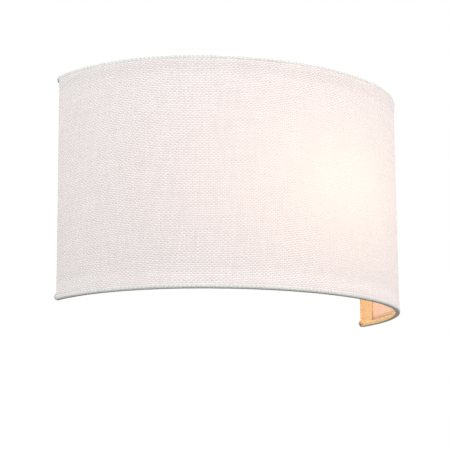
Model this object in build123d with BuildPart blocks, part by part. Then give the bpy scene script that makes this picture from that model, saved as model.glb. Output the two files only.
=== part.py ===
from build123d import *
import os
from math import asin, atan2, degrees, radians, sqrt, tan

# Fabric shade wall light: a linen half drum hung on a steel back plate, over one lamp lying along the wall.
# Millimetres. The wall is the plane Y = 0 and the light stands out from it towards -Y.
# X runs along the wall, to the right as seen from the room, and Z up.
# The origin is the middle of the two wall screws.

os.makedirs("parts", exist_ok=True)

# ---------------------------------------------------------------- driving dimensions

# Shade: a half drum whose plan is one front arc between two tangent side arcs
shade_width = 300.0
shade_height = 175.0
shade_depth = 134.0  # from its back edges to its front
side_radius = 127.5
shade_gap = 4.0  # from the wall to the back edges
edge_proud = 0.75  # how far the rolled edges stand out from the linen face
linen = 0.5
wire_diameter = 3.0
wire_clearance = 0.1
glue_film = 0.3
liner_wall = 0.5
hem_width = 12.0
corner_fold = 0.4  # how much thicker than a roll the tucked-in fold at its end is

# Back plate: a pressed pan, open towards the wall
pan_width = 230.0
pan_height = 80.0
pan_depth = 22.0
pan_wall = 1.0
pan_corner = 10.0
pan_edge = 3.0

# Wall bracket: a strap whose middle is raised over the supply cable
strap_margin = 8.0  # between each end and the pan's side
strap_height = 22.0
strap_wall = 1.5
strap_raise = 2.5
strap_raised_half = 15.0
lobe_diameter = 34.0
wall_slot_spacing = 60.0
wall_slot_length = 12.0
wall_slot_width = 4.6
cable_hole = 14.0
earth_inset = 24.0  # from the right stud to the earth screw
tag_wall = 0.8
tag_barrel = 1.6
tag_reach = 9.0
barrel_length = 6.0

# Threads, as plain cylinders, and what screws onto them
m4 = 4.0
m3 = 3.0
thread_gap = 0.05  # radial, between a thread and its nut
hole_gap = 0.25  # radial, between a screw and a plain hole
m4_nut_flats = 7.0
m4_nut_height = 3.2
cap_nut_height = 8.0
screw_head_diameter = 7.0
screw_head_height = 2.4
m3_head_radius = 2.55
m3_head_height = 1.8
driver_slot = 0.9
driver_slot_depth = 1.0
thread_show = 1.0  # how far a thread ends past its nut
wall_clear = 0.3  # between the wall and a screw's or stud's end
cap_nut_wall = 2.0
cap_nut_space = 0.5  # past the stud's end, inside the cap nut
dome_step = 0.2  # from the hexagon's flats to the dome
rivet_head = 1.2

# Shade studs, lugs and thumb nuts
shade_stud_inset = 11.0  # from the pan's side
shade_stud_level = 20.0
shoulder_diameter = 9.0
shoulder_height = 2.5
rivet_diameter = 3.2
lug_width = 16.0
lug_wall = 1.5
lug_bend = 4.0
lug_overrun = 10.0  # past the stud, towards the middle
lug_slot_gap = 0.2
slide_gap = 0.1  # between faces that slide on each other
washer_diameter = 12.0
washer_wall = 1.0
thumb_nut_diameter = 14.0
thumb_nut_height = 6.0
thumb_nut_flutes = 18
flute_radius = 0.8
lug_straight = 13.0  # from an upright to the lug's first bend
lug_pass = 5.0  # from the pan's side to the lug's second bend

# Lamp: a round lamp in a screw lampholder, its axis along X
lamp_depth = 62.0  # axis to wall
lamp_foot_x = -58.0  # where the lamp's contact meets the lampholder's
lamp_length = 105.0
globe_radius = 30.0
globe_wall = 1.2
globe_joint = 15.0  # from the globe's centre back to the housing
cap_radius = 13.2
cap_wall = 0.4
cap_length = 26.0  # contact to housing
housing_wall = 1.5
housing_blend = 25.0
housing_step = 0.6  # how far the housing's neck stands out from the cap
foot_radius = 4.8
foot_wall = 1.4
insulator_length = 3.1  # contact to cap
insulator_step = 1.6  # how far inside the cap's radius it ends
board_inset = 2.0
led_side = 3.0
led_height = 0.8
led_ring = 0.65  # of the board's radius
board_wall = 1.6
led_count = 9

# Lampholder
holder_length = 50.0
holder_cap_length = 22.0
holder_wall = 2.3
skirt_wall = 2.7  # over the spigot
cap_taper = 3.0  # how much its inside narrows towards the back
holder_boss_radius = 9.0
holder_rib_count = 20
shell_wall = 0.6
shell_length = 22.0
shell_gap = 0.08  # radial, between the lamp's cap and the lampholder's shell
insert_wall = 1.42  # round the shell
holder_shoulder = 6.0
rib_length = 12.0
rib_side = 1.2
mouth_wall = 2.0
mouth_lip = 2.5  # from the shell to the skirt's mouth
mouth_round = 1.2
mouth_gap = 1.0  # between the skirt's mouth and the lamp's housing
insert_depth = 12.0
insert_rim = 3.0  # round the shell's base
contact_space = 2.0  # between the lamp's foot and the insert
dish_radius = 8.0
dish_depth = 1.0
contact_wall = 0.5
contact_width = 5.0
contact_half_length = 6.0
contact_fold = 4.5  # from the lamp's axis to the fold
contact_tongue = 3.0
contact_bend = 0.5
spigot_length = 5.0
spigot_wall = 1.7
seat_gap = 1.0  # between the spigot's end and the skirt's step
fit_gap = 0.1  # radial, between parts that screw or push together

# Lamp bracket, and the hollow screw that holds the lampholder on it
bracket_wall = 1.5
bracket_width = 24.0
bracket_bend = 3.0
bracket_foot = 29.0
bracket_screw_spacing = 12.0
bracket_screw_x = 18.0  # from the bracket's leg
bracket_round = 11.9  # at the leg's end, just under half its width
bracket_corner = 4.0
nipple_radius = 5.0
nipple_bore = 3.6
nipple_length = 15.0
nipple_nut_flats = 14.0
nipple_nut_height = 3.0
nipple_washer_radius = 8.0
nipple_washer_wall = 0.8
nipple_chamfer = 0.4
nipple_entry = 6.0  # into the lampholder

# Terminal block and wiring
ways = 3
way_pitch = 9.0
block_x = 45.0
block_level = 26.0
block_height = 17.0
block_depth = 13.0
block_body = 8.5  # the part of the depth without the towers
block_corner = 1.0
block_floor = 1.5  # under the clamps
tower_radius = 3.5
tower_offset = 4.5
clamp_inset = 1.5  # from the block's ends
clamp_screw_sink = 1.5
core_inset = 2.0  # from a block's end to a core's end
clamp_side = 5.0
clamp_bore = 3.2
core_diameter = 2.0
core_pitch = 2.6
sleeve_diameter = 5.6
sleeve_wall = 0.4
grommet_flange = 1.6
grommet_lip = 2.2
grommet_gap = 0.1
cable_bore = 9.0
lead_hole = 9.0
lead_beyond = 18.5  # how far the lead leaves the pan past the bracket's leg
lead_level = -22.0
lead_inside = 6.0  # from the pan's front to the sleeve's start, inside the pan
lead_fall = 28.0  # from the lead's turn in front of the pan to the lamp's axis
lead_bulge = 11.0  # how far it swings past the bracket's leg
lead_reach = 14.0  # from the lamp's axis at the widest of the swing
lead_end = 7.0  # from the hollow screw's end to the sleeve's
wiring_depth = 8.0
wiring_slack = 2.0  # how far the cores rise and sink as they cross the pan
wiring_bend = 7.0  # where the cores turn into the lead
live_turn = (14.0, 13.0)  # along X, and below the lamp's level, of the live core's first turn
neutral_turn = (21.0, 23.0)
live_drop = 2.0
neutral_drop = -4.0
crossing = (-25.0, -67.0)
earth_turn = (7.0, 10.0, 24.0)
earth_low = 27.0
core_grip = 1.0  # how far a core's end passes a clamp, or stops short
terminal_offset = 4.0  # each lampholder terminal from the lamp's axis
terminal_side = 5.0
terminal_screw = 2.5
terminal_head = 1.5
terminal_head_radius = 2.1
terminal_sink = 4.0  # from the insert's ring to its back, under the terminals

# ---------------------------------------------------------------- values worked out from them

half_width = shade_width / 2
wire_radius = wire_diameter / 2
roll_radius = wire_radius + wire_clearance + linen
roll_level = shade_height / 2 - roll_radius
corner_radius = roll_radius + corner_fold
shade_back = -shade_gap
side_centre = half_width - side_radius
front_radius = (side_centre**2 + shade_depth**2 - side_radius**2) / (2 * (shade_depth - side_radius))
front_centre = shade_back - shade_depth + front_radius
side_sweep = degrees(atan2(front_centre - shade_back, side_centre))
liner_inset = edge_proud + linen + glue_film
hem_inset = liner_inset + liner_wall + glue_film
upright_inset = edge_proud + roll_radius
upright_x = half_width - upright_inset
upright_y = shade_back - roll_radius
upright_half = roll_level - wire_radius - wire_clearance

strap_length = pan_width - 2 * strap_margin
stud_spacing = strap_length - strap_height
stud_x = stud_spacing / 2
earth_x = stud_x - earth_inset

lug_depth = pan_depth + shoulder_height + slide_gap + lug_wall / 2
washer_depth = lug_depth + lug_wall / 2 + slide_gap
thumb_nut_depth = washer_depth + washer_wall + slide_gap
shade_stud_tip = thumb_nut_depth + thumb_nut_height + thread_show
shade_stud_x = pan_width / 2 - shade_stud_inset

holder_back = lamp_foot_x + cap_length - mouth_gap - holder_length
holder_joint = holder_back + holder_cap_length
holder_mouth = holder_back + holder_length
shell_inner = cap_radius + shell_gap
shell_outer = shell_inner + shell_wall
shell_base = lamp_foot_x - contact_space
insert_radius = shell_outer + fit_gap + insert_wall
spigot_radius = insert_radius + fit_gap + spigot_wall
holder_radius = spigot_radius + fit_gap + skirt_wall
leg_x = holder_back - bracket_wall
lead_x = leg_x - lead_beyond
globe_x = lamp_foot_x + lamp_length - globe_radius
joint_x = globe_x - globe_joint
joint_radius = sqrt(globe_radius**2 - globe_joint**2)
nipple_end = holder_back + nipple_entry
holder_terminal_x = shell_base - insert_depth + terminal_sink
terminal_x = holder_terminal_x - terminal_side / 2

lamp_line = Axis((0, -lamp_depth, 0), (1, 0, 0))
lamp_plan = Plane(origin=(0, -lamp_depth, 0), x_dir=(1, 0, 0), z_dir=(0, 0, 1))

nodes = []


def finish(piece, name):
    """Label a finished piece and write it under its own name."""
    piece.part.label = name
    nodes.append(name)
    export_step(piece.part, f"parts/{name}.step")


def wall_plane(depth):
    """The plane parallel to the wall at a depth into the room; its own axes are X and Z."""
    return Plane.XZ.offset(depth)


def across(x):
    """The plane across the lamp's axis at x, its normal along +X."""
    return Plane(origin=(x, -lamp_depth, 0), x_dir=(0, 1, 0), z_dir=(1, 0, 0))


def draw_plan(inset, setback=0.0):
    """Draw the shade's plan at an inset from its outline, from right to left, and give its two ends.

    Each end lies a setback in front of the back edges."""
    side = side_radius - inset
    start = degrees(asin(setback / side))
    right = CenterArc((side_centre, shade_back), side, -start, start - side_sweep)
    CenterArc((0, front_centre), front_radius - inset, -side_sweep, 2 * side_sweep - 180)
    left = CenterArc((-side_centre, shade_back), side, side_sweep - 180, start - side_sweep)
    return right @ 0, left @ 1


def draw_band(inset, wall, setback):
    """Draw the closed outline of a strip that follows the shade's plan."""
    outer_right, outer_left = draw_plan(inset, setback)
    inner_right, inner_left = draw_plan(inset + wall, setback)
    Line(outer_right, inner_right)
    Line(outer_left, inner_left)


def draw_hem(inset, wall, setback, width):
    """Draw the closed outline of the hem turned in behind the right upright, along the side arc."""
    outer = side_radius - inset
    inner = outer - wall
    start = degrees(asin(setback / inner))
    sweep_angle = degrees(width / inner)
    first = CenterArc((side_centre, shade_back), outer, -start, -sweep_angle)
    last = CenterArc((side_centre, shade_back), inner, -start, -sweep_angle)
    Line(first @ 0, last @ 0)
    Line(first @ 1, last @ 1)


# ---------------------------------------------------------------- shade

# The linen face runs round both uprights and turns in behind them as a hem. Its top and bottom edges are
# rolled round the ring wires, and a fold closes each end of a roll.
with BuildPart() as shade_fabric:
    with BuildSketch(Plane.XY.offset(-roll_level)):
        with BuildLine():
            draw_band(edge_proud, linen, roll_radius)
        make_face()
        with Locations((upright_x, upright_y), (-upright_x, upright_y)):
            Circle(roll_radius)
        with BuildLine():
            draw_hem(hem_inset, linen, 1.5 * roll_radius, hem_width)
        hem = make_face()
        mirror(hem, about=Plane.YZ)
    extrude(amount=2 * roll_level)
    for level in (-roll_level, roll_level):
        with BuildLine(Plane.XY.offset(level)) as roll_path:
            draw_plan(roll_radius, corner_radius)
        with BuildSketch(Plane(origin=roll_path.line @ 0, z_dir=roll_path.line % 0)):
            Circle(roll_radius)
        sweep()
    corner_x = half_width - corner_radius
    corner_y = shade_back - corner_radius
    corner_z = shade_height / 2 - corner_radius
    with Locations([(x, corner_y, z) for x in (-corner_x, corner_x) for z in (-corner_z, corner_z)]):
        Sphere(corner_radius)
    for level in (-roll_level, roll_level):
        with BuildLine(Plane.XY.offset(level)) as bore_path:
            draw_plan(roll_radius, 2 * linen - wire_clearance)
        with BuildSketch(Plane(origin=bore_path.line @ 0, z_dir=bore_path.line % 0)):
            Circle(wire_radius + wire_clearance)
        sweep(mode=Mode.SUBTRACT)
    with Locations((upright_x, upright_y, 0), (-upright_x, upright_y, 0)):
        Cylinder(wire_radius + wire_clearance, 2 * roll_level, mode=Mode.SUBTRACT)
    for side in (-1, 1):
        with Locations((side * (upright_x - roll_radius), upright_y, shade_stud_level)):
            Box(
                2 * roll_radius,
                lug_wall + 2 * glue_film,
                lug_width + 2 * glue_film,
                mode=Mode.SUBTRACT,
            )
finish(shade_fabric, "shade_fabric")

# The liner stiffens the linen. It stops short of the rolls and of the uprights.
liner_half = roll_level - roll_radius - glue_film
with BuildPart() as shade_liner:
    with BuildSketch(Plane.XY.offset(-liner_half)):
        with BuildLine():
            draw_band(liner_inset, liner_wall, 2 * roll_radius + glue_film)
        make_face()
    extrude(amount=2 * liner_half)
finish(shade_liner, "shade_liner")

for name, level in (("bottom_wire", -roll_level), ("top_wire", roll_level)):
    with BuildPart() as ring_wire:
        with BuildLine(Plane.XY.offset(level)) as wire_path:
            draw_plan(roll_radius, 2 * linen)
        with BuildSketch(Plane(origin=wire_path.line @ 0, z_dir=wire_path.line % 0)):
            Circle(wire_radius)
        sweep()
    finish(ring_wire, name)

for name, side in (("left_upright", -1), ("right_upright", 1)):
    with BuildPart() as upright:
        with Locations((side * upright_x, upright_y, 0)):
            Cylinder(wire_radius, 2 * upright_half)
    finish(upright, name)

# Each lug leaves its upright along X, steps forward past the pan's edge and lies in front of the pan.
# Its slot is open downwards, so that the shade lifts off its studs.
for name, side in (("left_lug", -1), ("right_lug", 1)):
    with BuildPart() as lug:
        with BuildLine(Plane.XY.offset(shade_stud_level)) as lug_path:
            FilletPolyline(
                (side * (upright_x - wire_radius), upright_y),
                (side * (upright_x - lug_straight), upright_y),
                (side * (pan_width / 2 + lug_pass), -lug_depth),
                (side * (shade_stud_x - lug_overrun), -lug_depth),
                radius=lug_bend,
            )
        with BuildSketch(Plane(origin=lug_path.line @ 0, x_dir=(0, 0, 1), z_dir=lug_path.line % 0)):
            Rectangle(lug_width, lug_wall)
        sweep()
        inner_end = lug.edges().filter_by(Axis.Y).group_by(Axis.X)[0 if side > 0 else -1]
        fillet(inner_end, lug_width / 4)
        with BuildSketch(wall_plane(lug_depth - lug_wall)):
            with Locations((side * shade_stud_x, shade_stud_level)):
                Circle(m4 / 2 + lug_slot_gap)
                Rectangle(m4 + 2 * lug_slot_gap, lug_width, align=(Align.CENTER, Align.MAX))
        extrude(amount=2 * lug_wall, mode=Mode.SUBTRACT)
    finish(lug, name)

# ---------------------------------------------------------------- back plate and wall bracket

block_screw_places = [(block_x - way_pitch / 2, block_level), (block_x + way_pitch / 2, block_level)]
screw_x = leg_x + bracket_screw_x
screw_places = [(screw_x, -bracket_screw_spacing / 2), (screw_x, bracket_screw_spacing / 2)]
with BuildPart() as back_plate:
    with BuildSketch(wall_plane(0)):
        RectangleRounded(pan_width, pan_height, pan_corner)
    extrude(amount=pan_depth)
    fillet(back_plate.faces().sort_by(Axis.Y)[0].edges(), pan_edge)
    offset(amount=-pan_wall, openings=back_plate.faces().sort_by(Axis.Y)[-1])
    with BuildSketch(wall_plane(pan_depth - 2 * pan_wall)):
        with Locations((-stud_x, 0), (stud_x, 0)):
            Circle(m4 / 2 + hole_gap)
        with Locations((-shade_stud_x, shade_stud_level), (shade_stud_x, shade_stud_level)):
            Circle(rivet_diameter / 2)
        with Locations(*screw_places):
            Circle(m4 / 2 + hole_gap)
        with Locations((lead_x, lead_level)):
            Circle(lead_hole / 2)
        with Locations(*block_screw_places):
            Circle(m3 / 2 + thread_gap)
    extrude(amount=4 * pan_wall, mode=Mode.SUBTRACT)
finish(back_plate, "back_plate")

# The strap is cut out in the wall's plane, and folded so that its middle stands off the wall.
with BuildPart() as wall_bracket:
    with BuildSketch(wall_plane(0)):
        SlotOverall(strap_length, strap_height)
        Circle(lobe_diameter / 2)
        Circle(cable_hole / 2, mode=Mode.SUBTRACT)
        with Locations((-wall_slot_spacing / 2, 0), (wall_slot_spacing / 2, 0)):
            SlotOverall(wall_slot_length, wall_slot_width, mode=Mode.SUBTRACT)
        with Locations((-stud_x, 0), (stud_x, 0), (earth_x, 0)):
            Circle(m4 / 2 + thread_gap, mode=Mode.SUBTRACT)
    extrude(amount=strap_raise + strap_wall)
    fold = strap_wall * tan(radians(45 / 2))
    ramp_end = strap_raised_half + strap_raise
    with BuildSketch(Plane.XY.offset(-lobe_diameter)):
        with BuildLine():
            Polyline(
                (-strap_length, 0),
                (-ramp_end, 0),
                (-strap_raised_half, -strap_raise),
                (strap_raised_half, -strap_raise),
                (ramp_end, 0),
                (strap_length, 0),
                (strap_length, -strap_wall),
                (ramp_end + fold, -strap_wall),
                (strap_raised_half + fold, -strap_raise - strap_wall),
                (-strap_raised_half - fold, -strap_raise - strap_wall),
                (-ramp_end - fold, -strap_wall),
                (-strap_length, -strap_wall),
                close=True,
            )
        make_face()
    extrude(amount=2 * lobe_diameter, mode=Mode.INTERSECT)
finish(wall_bracket, "wall_bracket")


def hex_nut(depth, places, flats, height, bore):
    """Draw and raise plain hexagon nuts from a depth towards the room."""
    with BuildPart() as nuts:
        with BuildSketch(wall_plane(depth)):
            with Locations(*places):
                RegularPolygon(flats / 2, 6, major_radius=False)
                Circle(bore, mode=Mode.SUBTRACT)
        extrude(amount=height)
    return nuts


# Studs from the strap to the pan's front, locked by plain nuts on the strap and cap nuts outside
stud_places = [(-stud_x, 0), (stud_x, 0)]
stud_tip = pan_depth + cap_nut_height - cap_nut_wall - cap_nut_space
with BuildPart() as bracket_studs:
    with BuildSketch(wall_plane(wall_clear)):
        with Locations(*stud_places):
            Circle(m4 / 2)
    extrude(amount=stud_tip - wall_clear)
finish(bracket_studs, "bracket_studs")

bracket_nuts = hex_nut(strap_wall, stud_places, m4_nut_flats, m4_nut_height, m4 / 2 + thread_gap)
finish(bracket_nuts, "bracket_nuts")

# A cap nut: a hexagon under a dome, bored from the pan's side
dome_radius = m4_nut_flats / 2 - dome_step
with BuildPart() as cap_nuts:
    with BuildSketch(wall_plane(pan_depth)):
        with Locations(*stud_places):
            RegularPolygon(m4_nut_flats / 2, 6, major_radius=False)
    extrude(amount=m4_nut_height)
    with BuildSketch(wall_plane(pan_depth)):
        with Locations(*stud_places):
            Circle(dome_radius)
    extrude(amount=cap_nut_height - dome_radius)
    with Locations(*[(x, -pan_depth - cap_nut_height + dome_radius, z) for x, z in stud_places]):
        Sphere(dome_radius)
    with BuildSketch(wall_plane(pan_depth)):
        with Locations(*stud_places):
            Circle(m4 / 2 + thread_gap)
    extrude(amount=cap_nut_height - cap_nut_wall, mode=Mode.SUBTRACT)
finish(cap_nuts, "cap_nuts")

# Shade studs: a rivet through the pan, a shoulder in front of it and the threaded end
with BuildPart() as shade_studs:
    for x in (-shade_stud_x, shade_stud_x):
        for start, end, diameter in (
            (pan_depth - pan_wall - rivet_head, pan_depth - pan_wall, 2 * rivet_diameter),
            (pan_depth - pan_wall, pan_depth, rivet_diameter),
            (pan_depth, pan_depth + shoulder_height, shoulder_diameter),
            (pan_depth + shoulder_height, shade_stud_tip, m4),
        ):
            with BuildSketch(wall_plane(start)):
                with Locations((x, shade_stud_level)):
                    Circle(diameter / 2)
            extrude(amount=end - start)
finish(shade_studs, "shade_studs")

for side_name, side in (("left", -1), ("right", 1)):
    place = (side * shade_stud_x, shade_stud_level)
    with BuildPart() as washer:
        with BuildSketch(wall_plane(washer_depth)):
            with Locations(place):
                Circle(washer_diameter / 2)
                Circle(m4 / 2 + slide_gap, mode=Mode.SUBTRACT)
        extrude(amount=washer_wall)
    finish(washer, f"{side_name}_washer")

    # The thumb nut's rim is fluted for the fingers, behind a smaller collar.
    with BuildPart() as thumb_nut:
        with BuildSketch(wall_plane(thumb_nut_depth)):
            with Locations(place):
                Circle(thumb_nut_diameter / 2)
                with PolarLocations(thumb_nut_diameter / 2, thumb_nut_flutes):
                    Circle(flute_radius, mode=Mode.SUBTRACT)
        extrude(amount=2 * thumb_nut_height / 3)
        with BuildSketch(wall_plane(thumb_nut_depth)):
            with Locations(place):
                Circle(thumb_nut_diameter / 3)
        extrude(amount=thumb_nut_height)
        with BuildSketch(wall_plane(thumb_nut_depth)):
            with Locations(place):
                Circle(m4 / 2 + thread_gap)
        extrude(amount=thumb_nut_height, mode=Mode.SUBTRACT)
    finish(thumb_nut, f"{side_name}_thumb_nut")


def pan_head_screw(places, seat, length, diameter, head_diameter, head_height):
    """Slotted screws whose heads sit on a depth facing the room, with plain shanks towards the wall."""
    with BuildPart() as screws:
        with BuildSketch(wall_plane(seat)):
            with Locations(*places):
                Circle(head_diameter / 2)
        extrude(amount=head_height)
        fillet(screws.faces().group_by(Axis.Y)[0].edges(), head_height / 3)
        with BuildSketch(wall_plane(seat + head_height)):
            with Locations(*places):
                Rectangle(head_diameter, driver_slot)
        extrude(amount=-driver_slot_depth, mode=Mode.SUBTRACT)
        with BuildSketch(wall_plane(seat)):
            with Locations(*places):
                Circle(diameter / 2)
        extrude(amount=-length)
    return screws


# ---------------------------------------------------------------- earth screw, terminal block and grommets

earth_screw = pan_head_screw(
    [(earth_x, 0)],
    strap_wall + tag_wall,
    strap_wall + tag_wall - wall_clear,
    m4,
    screw_head_diameter,
    screw_head_height,
)
finish(earth_screw, "earth_screw")

# The tag is a ring with a tail, whose barrel is crimped on the earth core.
barrel_depth = strap_wall + tag_barrel
barrel_end = -tag_reach - barrel_length / 2
with BuildPart() as earth_tag:
    with BuildSketch(wall_plane(strap_wall)):
        with Locations((earth_x, 0)):
            Circle(m4)
            Rectangle(2 * tag_barrel, tag_reach, align=(Align.CENTER, Align.MAX))
            Circle(m4 / 2 + thread_gap, mode=Mode.SUBTRACT)
    extrude(amount=tag_wall)
    with BuildSketch(Plane.XY.offset(barrel_end)):
        with Locations((earth_x, -barrel_depth)):
            Circle(tag_barrel)
            Rectangle(2 * tag_barrel, tag_barrel, align=(Align.CENTER, Align.MIN))
    extrude(amount=barrel_length)
    with BuildSketch(Plane.XY.offset(barrel_end)):
        with Locations((earth_x, -barrel_depth)):
            Circle(core_diameter / 2 + thread_gap)
    extrude(amount=barrel_length, mode=Mode.SUBTRACT)
finish(earth_tag, "earth_tag")

way_x = [block_x + (i - (ways - 1) / 2) * way_pitch for i in range(ways)]
block_seat = pan_depth - pan_wall
block_back = block_seat - block_depth
clamp_depth = block_seat - block_floor - clamp_side / 2
tower_places = [(x, block_level + z) for x in way_x for z in (-tower_offset, tower_offset)]

# A strip of three ways: a body with a pair of screw towers for each way
with BuildPart() as terminal_block:
    with BuildSketch(wall_plane(block_seat - block_body)):
        with Locations((block_x, block_level)):
            RectangleRounded(ways * way_pitch, block_height, block_corner)
    extrude(amount=block_body)
    with BuildSketch(wall_plane(block_back)):
        with Locations(*tower_places):
            Circle(tower_radius)
    extrude(amount=block_depth)
    with BuildSketch(Plane.XY.offset(block_level - block_height / 2)):
        with Locations(*[(x, -clamp_depth) for x in way_x]):
            Rectangle(clamp_side + 2 * fit_gap, clamp_side + 2 * fit_gap)
    extrude(amount=block_height, mode=Mode.SUBTRACT)
    with BuildSketch(wall_plane(block_back)):
        with Locations(*tower_places):
            Circle(m3 / 2 + hole_gap)
    extrude(amount=block_depth / 2, mode=Mode.SUBTRACT)
    with BuildSketch(wall_plane(block_back)):
        with Locations(*block_screw_places):
            Circle(m3 / 2 + hole_gap)
    extrude(amount=block_depth, mode=Mode.SUBTRACT)
finish(terminal_block, "terminal_block")

# Brass tubes in the block, bored along Z for the cores and drilled for the clamp screws
clamp_length = block_height - 2 * clamp_inset
with BuildPart() as terminal_clamps:
    with BuildSketch(Plane.XY.offset(block_level - clamp_length / 2)):
        with Locations(*[(x, -clamp_depth) for x in way_x]):
            Rectangle(clamp_side, clamp_side)
            Circle(clamp_bore / 2, mode=Mode.SUBTRACT)
    extrude(amount=clamp_length)
    with BuildSketch(wall_plane(clamp_depth - clamp_side / 2)):
        with Locations(*tower_places):
            Circle(m3 / 2 + thread_gap)
    extrude(amount=clamp_side / 2, mode=Mode.SUBTRACT)
finish(terminal_clamps, "terminal_clamps")

clamp_screw_tip = clamp_depth - core_diameter / 2 - thread_gap
with BuildPart() as terminal_screws:
    with BuildSketch(wall_plane(block_back + clamp_screw_sink)):
        with Locations(*tower_places):
            Circle(m3 / 2)
    extrude(amount=clamp_screw_tip - block_back - clamp_screw_sink)
    with BuildSketch(wall_plane(block_back + clamp_screw_sink)):
        with Locations(*tower_places):
            Rectangle(m3, driver_slot)
    extrude(amount=driver_slot_depth, mode=Mode.SUBTRACT)
finish(terminal_screws, "terminal_screws")

# Two screws hold the block on the pan. Their heads sit on the block's body, between the towers.
with BuildPart() as block_screws:
    with BuildSketch(wall_plane(block_seat - block_body)):
        with Locations(*block_screw_places):
            Circle(m3 / 2)
    extrude(amount=block_body + pan_wall)
    with BuildSketch(wall_plane(block_seat - block_body)):
        with Locations(*block_screw_places):
            Circle(m3_head_radius)
            Rectangle(2 * m3_head_radius, driver_slot, mode=Mode.SUBTRACT)
    extrude(amount=-m3_head_height)
finish(block_screws, "block_screws")


def grommet(hole_diameter, bore_diameter, plate_front, plate_wall):
    """A rubber ring in a hole, its groove holding the plate: a profile turned about an axis along Y."""
    hole = hole_diameter / 2 - grommet_gap
    bore = bore_diameter / 2
    rim = hole + grommet_lip
    bevel = grommet_flange / 2
    front = -plate_front - thread_gap
    back = -plate_front + plate_wall + thread_gap
    with BuildPart() as ring:
        with BuildSketch(Plane.XY):
            with BuildLine():
                Polyline(
                    (bore, back + grommet_flange),
                    (rim - bevel, back + grommet_flange),
                    (rim, back + bevel),
                    (rim, back),
                    (hole, back),
                    (hole, front),
                    (rim, front),
                    (rim, front - bevel),
                    (rim - bevel, front - grommet_flange),
                    (bore, front - grommet_flange),
                    close=True,
                )
            make_face()
        revolve(axis=Axis.Y)
    return ring


cable_grommet = grommet(cable_hole, cable_bore, strap_raise + strap_wall, strap_wall)
finish(cable_grommet, "cable_grommet")

centred_ring = grommet(lead_hole, sleeve_diameter + 2 * grommet_gap, pan_depth, pan_wall)
with BuildPart() as lead_grommet:
    add(centred_ring.part.moved(Location((lead_x, 0, lead_level))))
finish(lead_grommet, "lead_grommet")

# ---------------------------------------------------------------- lamp bracket and lampholder

# An angle bracket: its foot lies on the pan and its leg stands across the lamp's axis.
foot_depth = pan_depth + bracket_wall / 2
leg_middle = leg_x + bracket_wall / 2
leg_tip = lamp_depth + bracket_width / 2
with BuildPart() as lamp_bracket:
    with BuildLine() as bracket_path:
        FilletPolyline(
            (leg_x + bracket_foot, -foot_depth),
            (leg_middle, -foot_depth),
            (leg_middle, -leg_tip),
            radius=bracket_bend,
        )
    with BuildSketch(Plane(origin=bracket_path.line @ 0, x_dir=(0, 0, 1), z_dir=bracket_path.line % 0)):
        Rectangle(bracket_width, bracket_wall)
    sweep()
    fillet(lamp_bracket.edges().filter_by(Axis.X).group_by(Axis.Y)[0], bracket_round)
    fillet(lamp_bracket.edges().filter_by(Axis.Y).group_by(Axis.X)[-1], bracket_corner)
    with BuildSketch(across(leg_x - bracket_wall)):
        Circle(nipple_radius + hole_gap)
    extrude(amount=3 * bracket_wall, mode=Mode.SUBTRACT)
    with BuildSketch(wall_plane(pan_depth - bracket_wall)):
        with Locations(*screw_places):
            Circle(m4 / 2 + hole_gap)
    extrude(amount=3 * bracket_wall, mode=Mode.SUBTRACT)
finish(lamp_bracket, "lamp_bracket")

screw_nut_depth = pan_depth - pan_wall - m4_nut_height
screw_nuts = hex_nut(screw_nut_depth, screw_places, m4_nut_flats, m4_nut_height, m4 / 2 + thread_gap)
finish(screw_nuts, "screw_nuts")

bracket_screws = pan_head_screw(
    screw_places,
    pan_depth + bracket_wall,
    bracket_wall + pan_wall + m4_nut_height + thread_show,
    m4,
    screw_head_diameter,
    screw_head_height,
)
finish(bracket_screws, "bracket_screws")

# The hollow screw through the leg, its nut and washer on the far side of the leg
with BuildPart() as nipple:
    with BuildSketch(across(nipple_end - nipple_length)):
        Circle(nipple_radius)
        Circle(nipple_bore, mode=Mode.SUBTRACT)
    extrude(amount=nipple_length)
    chamfer(nipple.edges().group_by(Axis.X)[0], nipple_chamfer)
finish(nipple, "nipple")

with BuildPart() as nipple_washer:
    with BuildSketch(across(leg_x - nipple_washer_wall)):
        Circle(nipple_washer_radius)
        Circle(nipple_radius + thread_gap, mode=Mode.SUBTRACT)
    extrude(amount=nipple_washer_wall)
finish(nipple_washer, "nipple_washer")

with BuildPart() as nipple_nut:
    with BuildSketch(across(leg_x - nipple_washer_wall - nipple_nut_height)):
        RegularPolygon(nipple_nut_flats / 2, 6, major_radius=False)
        Circle(nipple_radius + thread_gap, mode=Mode.SUBTRACT)
    extrude(amount=nipple_nut_height)
finish(nipple_nut, "nipple_nut")


def turn(points, shoulder=None, radius=0.0):
    """Turn a closed profile of (x, radius) points about the lamp's axis, rounding the numbered corner."""
    with BuildPart() as turned:
        with BuildSketch(lamp_plan) as profile:
            with BuildLine():
                Polyline(*points, close=True)
            make_face()
            if shoulder is not None:
                fillet(profile.vertices().sort_by_distance(points[shoulder])[0], radius)
        revolve(axis=lamp_line)
    return turned


# The lampholder's cap carries the hollow screw in a boss, and ends in a spigot for the skirt.
inner_radius = holder_radius - holder_wall
boss_end = nipple_end - thread_show
holder_cap = turn(
    [
        (holder_back, nipple_radius + fit_gap),
        (holder_back, holder_radius),
        (holder_joint, holder_radius),
        (holder_joint, spigot_radius),
        (holder_joint + spigot_length, spigot_radius),
        (holder_joint + spigot_length, insert_radius + fit_gap),
        (holder_joint - insert_depth, insert_radius + fit_gap),
        (holder_back + holder_wall, insert_radius - cap_taper),
        (holder_back + holder_wall, holder_boss_radius),
        (boss_end, holder_boss_radius),
        (boss_end, nipple_radius + fit_gap),
    ],
    shoulder=1,
    radius=holder_shoulder,
)
finish(holder_cap, "holder_cap")

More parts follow.
